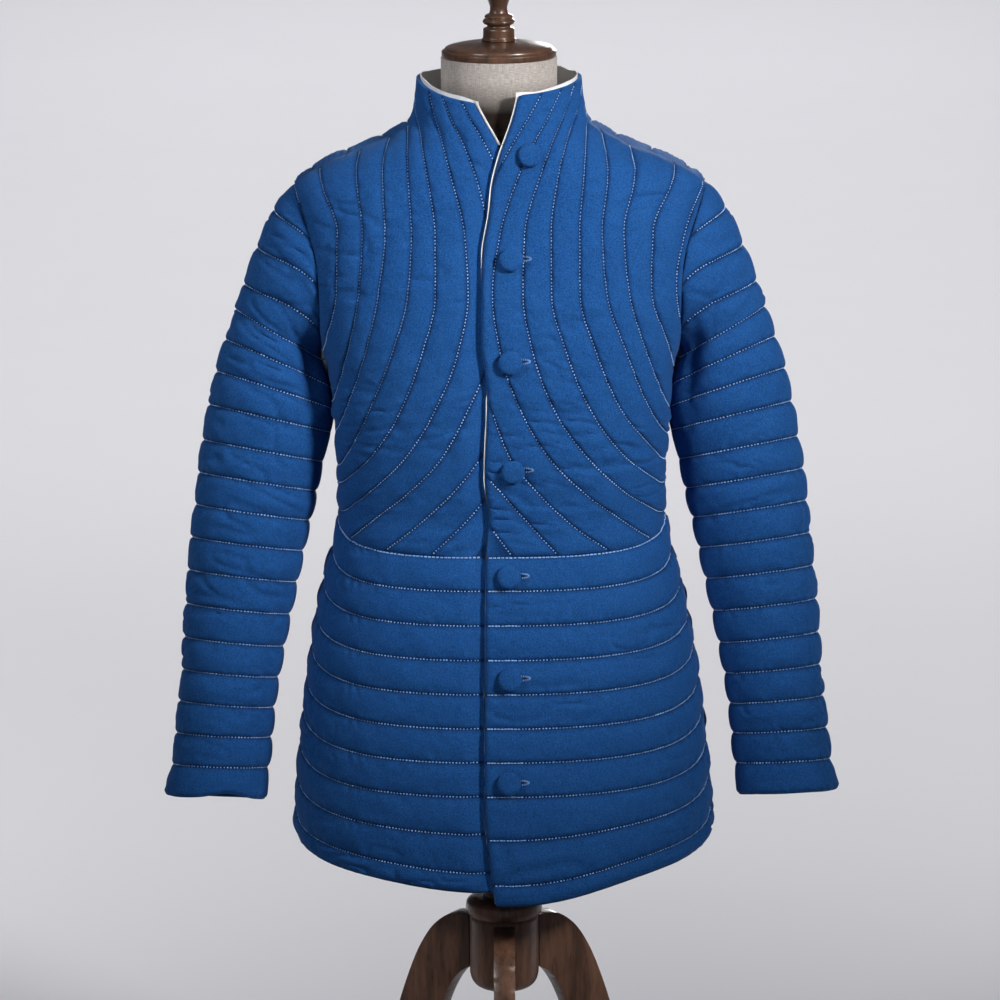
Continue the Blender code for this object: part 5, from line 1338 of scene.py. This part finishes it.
def cloth_look():
    """Blue woven cotton: close weave, slubs, a faded bloom in patches, painted shade in the lines of
    stitching and a soft sheen.
    """
    look = Look("blue_cloth")
    threads = look.threads(1400.0, 90.0, 1.0)
    patches = look.noise(look.solid, 9.0, 4.0, 0.6)
    fade = look.noise(look.solid, 46.0, 3.0, 0.6)
    base = look.mix(look.between(patches, 0.0, 1.0, 0.3, 0.7), (0.0060, 0.058, 0.222),
                    (0.0090, 0.074, 0.262))
    base = look.mix(look.between(threads, 0.0, 0.65, 0.75, 1.25), base, (0.016, 0.100, 0.320))
    base = look.mix(look.between(fade, 0.0, 0.30, 0.52, 0.75), base, (0.018, 0.104, 0.325))
    # Painted shade: the colour goes near black-blue in the lines of stitching, where the valleys fall into
    # shade.
    deep = look.node("ShaderNodeAttribute", attribute_name="valley").outputs["Fac"]
    base = look.mix(look.between(deep, 0.0, 0.92), base, (0.0004, 0.008, 0.045))
    grain = look.noise(look.solid, 760.0, 3.0, 0.7)
    base = look.mix(1.0, base, look.between(grain, 0.45, 1.55, 0.27, 0.73), "MULTIPLY")
    fine = look.bump(look.weave(0.0011), 0.35, 0.00014)
    slubs = look.bump(threads, 0.55, 0.00022, fine)
    crumple = look.bump(look.noise(look.solid, 150.0, 3.0, 0.55), 0.5, 0.0007, slubs)
    return look.finish(base, look.between(threads, 0.78, 0.92, 0.8, 1.2), crumple, Sheen_Weight=0.14,
                       Sheen_Roughness=0.45, Sheen_Tint=(0.30, 0.55, 1.0, 1.0), Specular_IOR_Level=0.15)


def thread_look(name, low, high):
    """Twisted thread."""
    look = Look(name)
    twist = look.noise(look.solid, (2600.0, 2600.0, 900.0))
    base = look.mix(look.between(look.noise(look.solid, 60.0), 0.0, 1.0, 0.35, 0.65), low, high)
    return look.finish(base, look.between(twist, 0.55, 0.8), look.bump(twist, 0.6, 0.0001),
                       Sheen_Weight=0.15)


def plain_weave_look(name, low, high, pitch, roughness, bump_strength, painted_shade_heights=None):
    """Undyed woven cloth; the last argument gives the heights between which painted shade darkens it
    downwards.
    """
    look = Look(name)
    threads = look.threads(1100.0, 70.0, 2.0)
    soil = look.noise(look.solid, 12.0, 4.0, 0.6)
    base = look.mix(look.between(threads, 0.0, 1.0, 0.75, 1.25), low, high)
    base = look.mix(look.between(soil, 0.0, 0.25, 0.5, 0.75), base, dimmed(low, (0.8, 0.78, 0.74)))
    if painted_shade_heights:
        # Painted shade: near black-brown below the lower height, fading out by the upper one.
        height = look.node("ShaderNodeSeparateXYZ", {"Vector": look.solid}).outputs["Z"]
        base = look.mix(look.between(height, 1.0, 0.0, *painted_shade_heights), base, (0.020, 0.011, 0.007))
    fine = look.bump(look.weave(pitch), bump_strength, 0.00018)
    return look.finish(base, look.between(threads, roughness - 0.06, roughness + 0.06, 0.8, 1.2),
                       look.bump(threads, 0.5, 0.0002, fine), Sheen_Weight=0.12, Specular_IOR_Level=0.3)


def wood_look(name, dark, light, grain, roughness):
    """Satin varnished walnut; grain is the stretch of the figure along each axis."""
    look = Look(name)
    figure = look.noise(look.solid, grain, 5.0, 0.62)
    pores = look.noise(look.solid, tuple(5.5 * value for value in grain))
    wear = look.noise(look.solid, 30.0, 3.0)
    base = look.mix(look.between(figure, 0.0, 1.0, 0.35, 0.68), dark, light)
    base = look.mix(look.between(pores, 0.0, 0.6, 0.58, 0.72), base, dimmed(dark, (0.5, 0.5, 0.5)))
    return look.finish(base, look.between(wear, roughness - 0.06, roughness + 0.10, 0.35, 0.65),
                       look.bump(pores, 0.25, 0.0003), Coat_Weight=0.35, Coat_Roughness=0.22)


def floor_look():
    look = Look("pale_floor")
    base = look.mix(look.noise(look.solid, 3.0, 3.0), (0.66, 0.66, 0.69), (0.675, 0.675, 0.705))
    return look.finish(base, 0.95, Specular_IOR_Level=0.1)


# ------------------------------------------------------------------ camera, floor and lights
CAMERA_DISTANCE, CAMERA_DROP, CAMERA_ROLL = 5.5, math.radians(12.3), math.atan(0.0061)
CAMERA_FOCUS, FRAME_WIDTH = 5238.0, 1000.0       # focal length and frame width in pixels
AXIS_SHIFT = 1.55                                # pixels from the frame's middle to the stand's axis
CAMERA_AIM_Z = 0.90
SWEEP_START, SWEEP_RADIUS = 10.0, 4.0            # the floor is level as far back as this
CHEST = (0.0, 0.0, 1.18)
NEUTRAL = (1.0, 0.995, 1.0)


def add_camera():
    toward = Vector((0.0, -math.cos(CAMERA_DROP), math.sin(CAMERA_DROP)))
    aim = Vector((-AXIS_SHIFT * CAMERA_DISTANCE / CAMERA_FOCUS, 0.0, CAMERA_AIM_Z)) + AXIS_PLACE
    data = bpy.data.cameras.new("camera")
    data.sensor_width = 36.0
    data.lens = CAMERA_FOCUS * data.sensor_width / FRAME_WIDTH
    data.clip_end = 60.0
    made = link("camera", data)
    turn = toward.to_track_quat("Z", "Y").to_matrix() @ Matrix.Rotation(-CAMERA_ROLL, 3, "Z")
    made.matrix_world = Matrix.Translation(aim + toward * CAMERA_DISTANCE) @ turn.to_4x4()
    bpy.context.scene.camera = made


def add_stage(finish):
    """A floor that sweeps up into a wall far behind."""
    profile = [(-20.0, 0.0), (SWEEP_START, 0.0)]
    for step in range(1, 13):
        turn = math.pi / 2 * step / 12
        profile.append((SWEEP_START + SWEEP_RADIUS * math.sin(turn), SWEEP_RADIUS * (1 - math.cos(turn))))
    profile.append((SWEEP_START + SWEEP_RADIUS, 9.0))
    points = [(x, y, z) for y, z in profile for x in (-16.0, 16.0)]
    mesh = bpy.data.meshes.new("floor")
    mesh.from_pydata(points, [], [(low, low + 1, low + 3, low + 2) for low in range(0, len(points) - 2, 2)])
    mesh.shade_smooth()
    mesh.materials.append(finish)
    link("floor", mesh)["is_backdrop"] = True


def area_light(name, place, aim, size, power, tint, spread):
    data = bpy.data.lights.new(name, "AREA")
    data.shape = "RECTANGLE"
    data.size, data.size_y = size
    data.energy = power
    data.color = tint
    data.spread = math.radians(spread)
    made = link(name, data)
    made.location = place
    made.rotation_euler = (Vector(place) - Vector(aim)).to_track_quat("Z", "Y").to_euler()


def add_lights():
    world = bpy.data.worlds.new("studio")
    bpy.context.scene.world = world
    world.use_nodes = True
    background = world.node_tree.nodes["Background"]
    background.inputs["Color"].default_value = (0.92, 0.95, 1.0, 1.0)
    background.inputs["Strength"].default_value = 0.085
    area_light("key_right", (2.5, -2.7, 2.95), CHEST, (0.6, 0.6), 3.8, (1.0, 0.985, 0.965), 24.0)
    area_light("key_left", (-2.6, -2.5, 3.2), CHEST, (1.0, 1.0), 1.85, (0.97, 0.985, 1.0), 25.0)
    area_light("key_back", (0.7, 4.7, 1.6), CHEST, (0.8, 0.8), 1.9, (1.0, 1.0, 1.0), 26.0)
    area_light("backdrop", (0.0, 7.6, 4.2), (0.0, 7.6, 0.0), (7.0, 11.6), 252.0, NEUTRAL, 80.0)
    area_light("backdrop_near", (0.0, 1.5, 4.2), (0.0, 1.5, 0.0), (7.0, 1.2), 13.0, NEUTRAL, 50.0)
    area_light("floor_front", (0.0, -8.0, 4.2), (0.0, -8.0, 0.0), (9.0, 9.0), 150.0, NEUTRAL, 70.0)
    view = bpy.context.scene.view_settings
    view.view_transform = "Standard"
    view.look = "None"


# ------------------------------------------------------------------ pieces of cloth; their cut is not stated
LINED_PANELS = ("front_right_upper", "front_left_upper", "back_upper", "front_left_upper",
                "front_left_skirt")
Cut = namedtuple("Cut", "width length area")


def declare(piece, with_pieces=()):
    """Reads the pieces that lie on a piece of cloth, and does nothing with them."""
    list(with_pieces)


# ------------------------------------------------------------------ everything
def main():
    add_camera()
    add_lights()
    add_stage(floor_look())
    cloth = cloth_look()
    thread = thread_look("pale_thread", (0.18, 0.40, 0.88), (0.33, 0.59, 1.00))
    hole_thread = thread_look("hole_thread", (0.11, 0.25, 0.56), (0.18, 0.36, 0.68))
    # near-black sheets in the buttonholes' slits: painted shade
    slit = thread_look("slit_shade", (0.001, 0.004, 0.014), (0.002, 0.006, 0.020))
    lining = plain_weave_look("natural_lining_cloth", (0.84, 0.84, 0.83), (0.95, 0.95, 0.94),
                              0.0011, 0.85, 0.4)
    # the form's linen gets painted shade inside the collar, darker downwards from 1.350 m to 1.316 m
    linen = plain_weave_look("greige_linen", (0.380, 0.340, 0.315), (0.72, 0.66, 0.62),
                             0.0016, 0.82, 0.8, (1.316, 1.350))
    turned_wood = wood_look("walnut_turned", (0.040, 0.019, 0.011), (0.135, 0.063, 0.036),
                            (60.0, 60.0, 9.0), 0.36)
    # a lighter copy of the walnut for the legs, hub and stand ring: partly their own browner tone, partly
    # painted light making up for the lamps' weaker reach low down
    leg_wood = wood_look("walnut_legs", (0.090, 0.042, 0.025), (0.300, 0.142, 0.082),
                         (55.0, 55.0, 8.0), 0.38)
    uppers = {side: upper_panel(side, cloth) for side in ("left", "right", "back")}
    skirts = {side: skirt_panel(side, cloth) for side in uppers}
    on_upper = {side: [chest_stitching(side, panel, thread)] for side, panel in uppers.items()}
    on_skirt = {side: [skirt_stitching(side, panel, thread)] for side, panel in skirts.items()}
    on_upper["left"] += buttonholes("buttonholes_upper", uppers["left"], (2, 3, 4), hole_thread, slit)
    on_skirt["left"] += buttonholes("buttonholes_skirt", skirts["left"], (5, 6, 7), hole_thread, slit)
    for button, place in zip(buttons(uppers["left"], skirts["left"], cloth), BUTTON_PLACES):
        (on_upper if place.z > WAIST_Z else on_skirt)["left"].append(button)
    for panels, on_panels in ((uppers, on_upper), (skirts, on_skirt)):
        for side, panel in panels.items():
            declare(panel, on_panels[side])
    for side in ("left", "right"):
        tube = sleeve(side, cloth)
        declare(tube, [sleeve_stitching(side, tube, thread)])
    for strip, under in zip(linings(lining), LINED_PANELS):
        declare(strip)
    form_body(linen)
    for node, wood, steps in (("neck_cap", turned_wood, 5), ("finial", turned_wood, 5),
                              ("base_plate", turned_wood, 2), ("pole", turned_wood, 3),
                              ("stand_ring", leg_wood, 5), ("hub", leg_wood, 5)):
        turned(node, wood, steps)
    for name, degrees in LEG_ANGLES.items():
        leg(name, degrees, leg_wood)


main()
[[list(corner) for corner in box] for box in (CAD_BOX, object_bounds())]
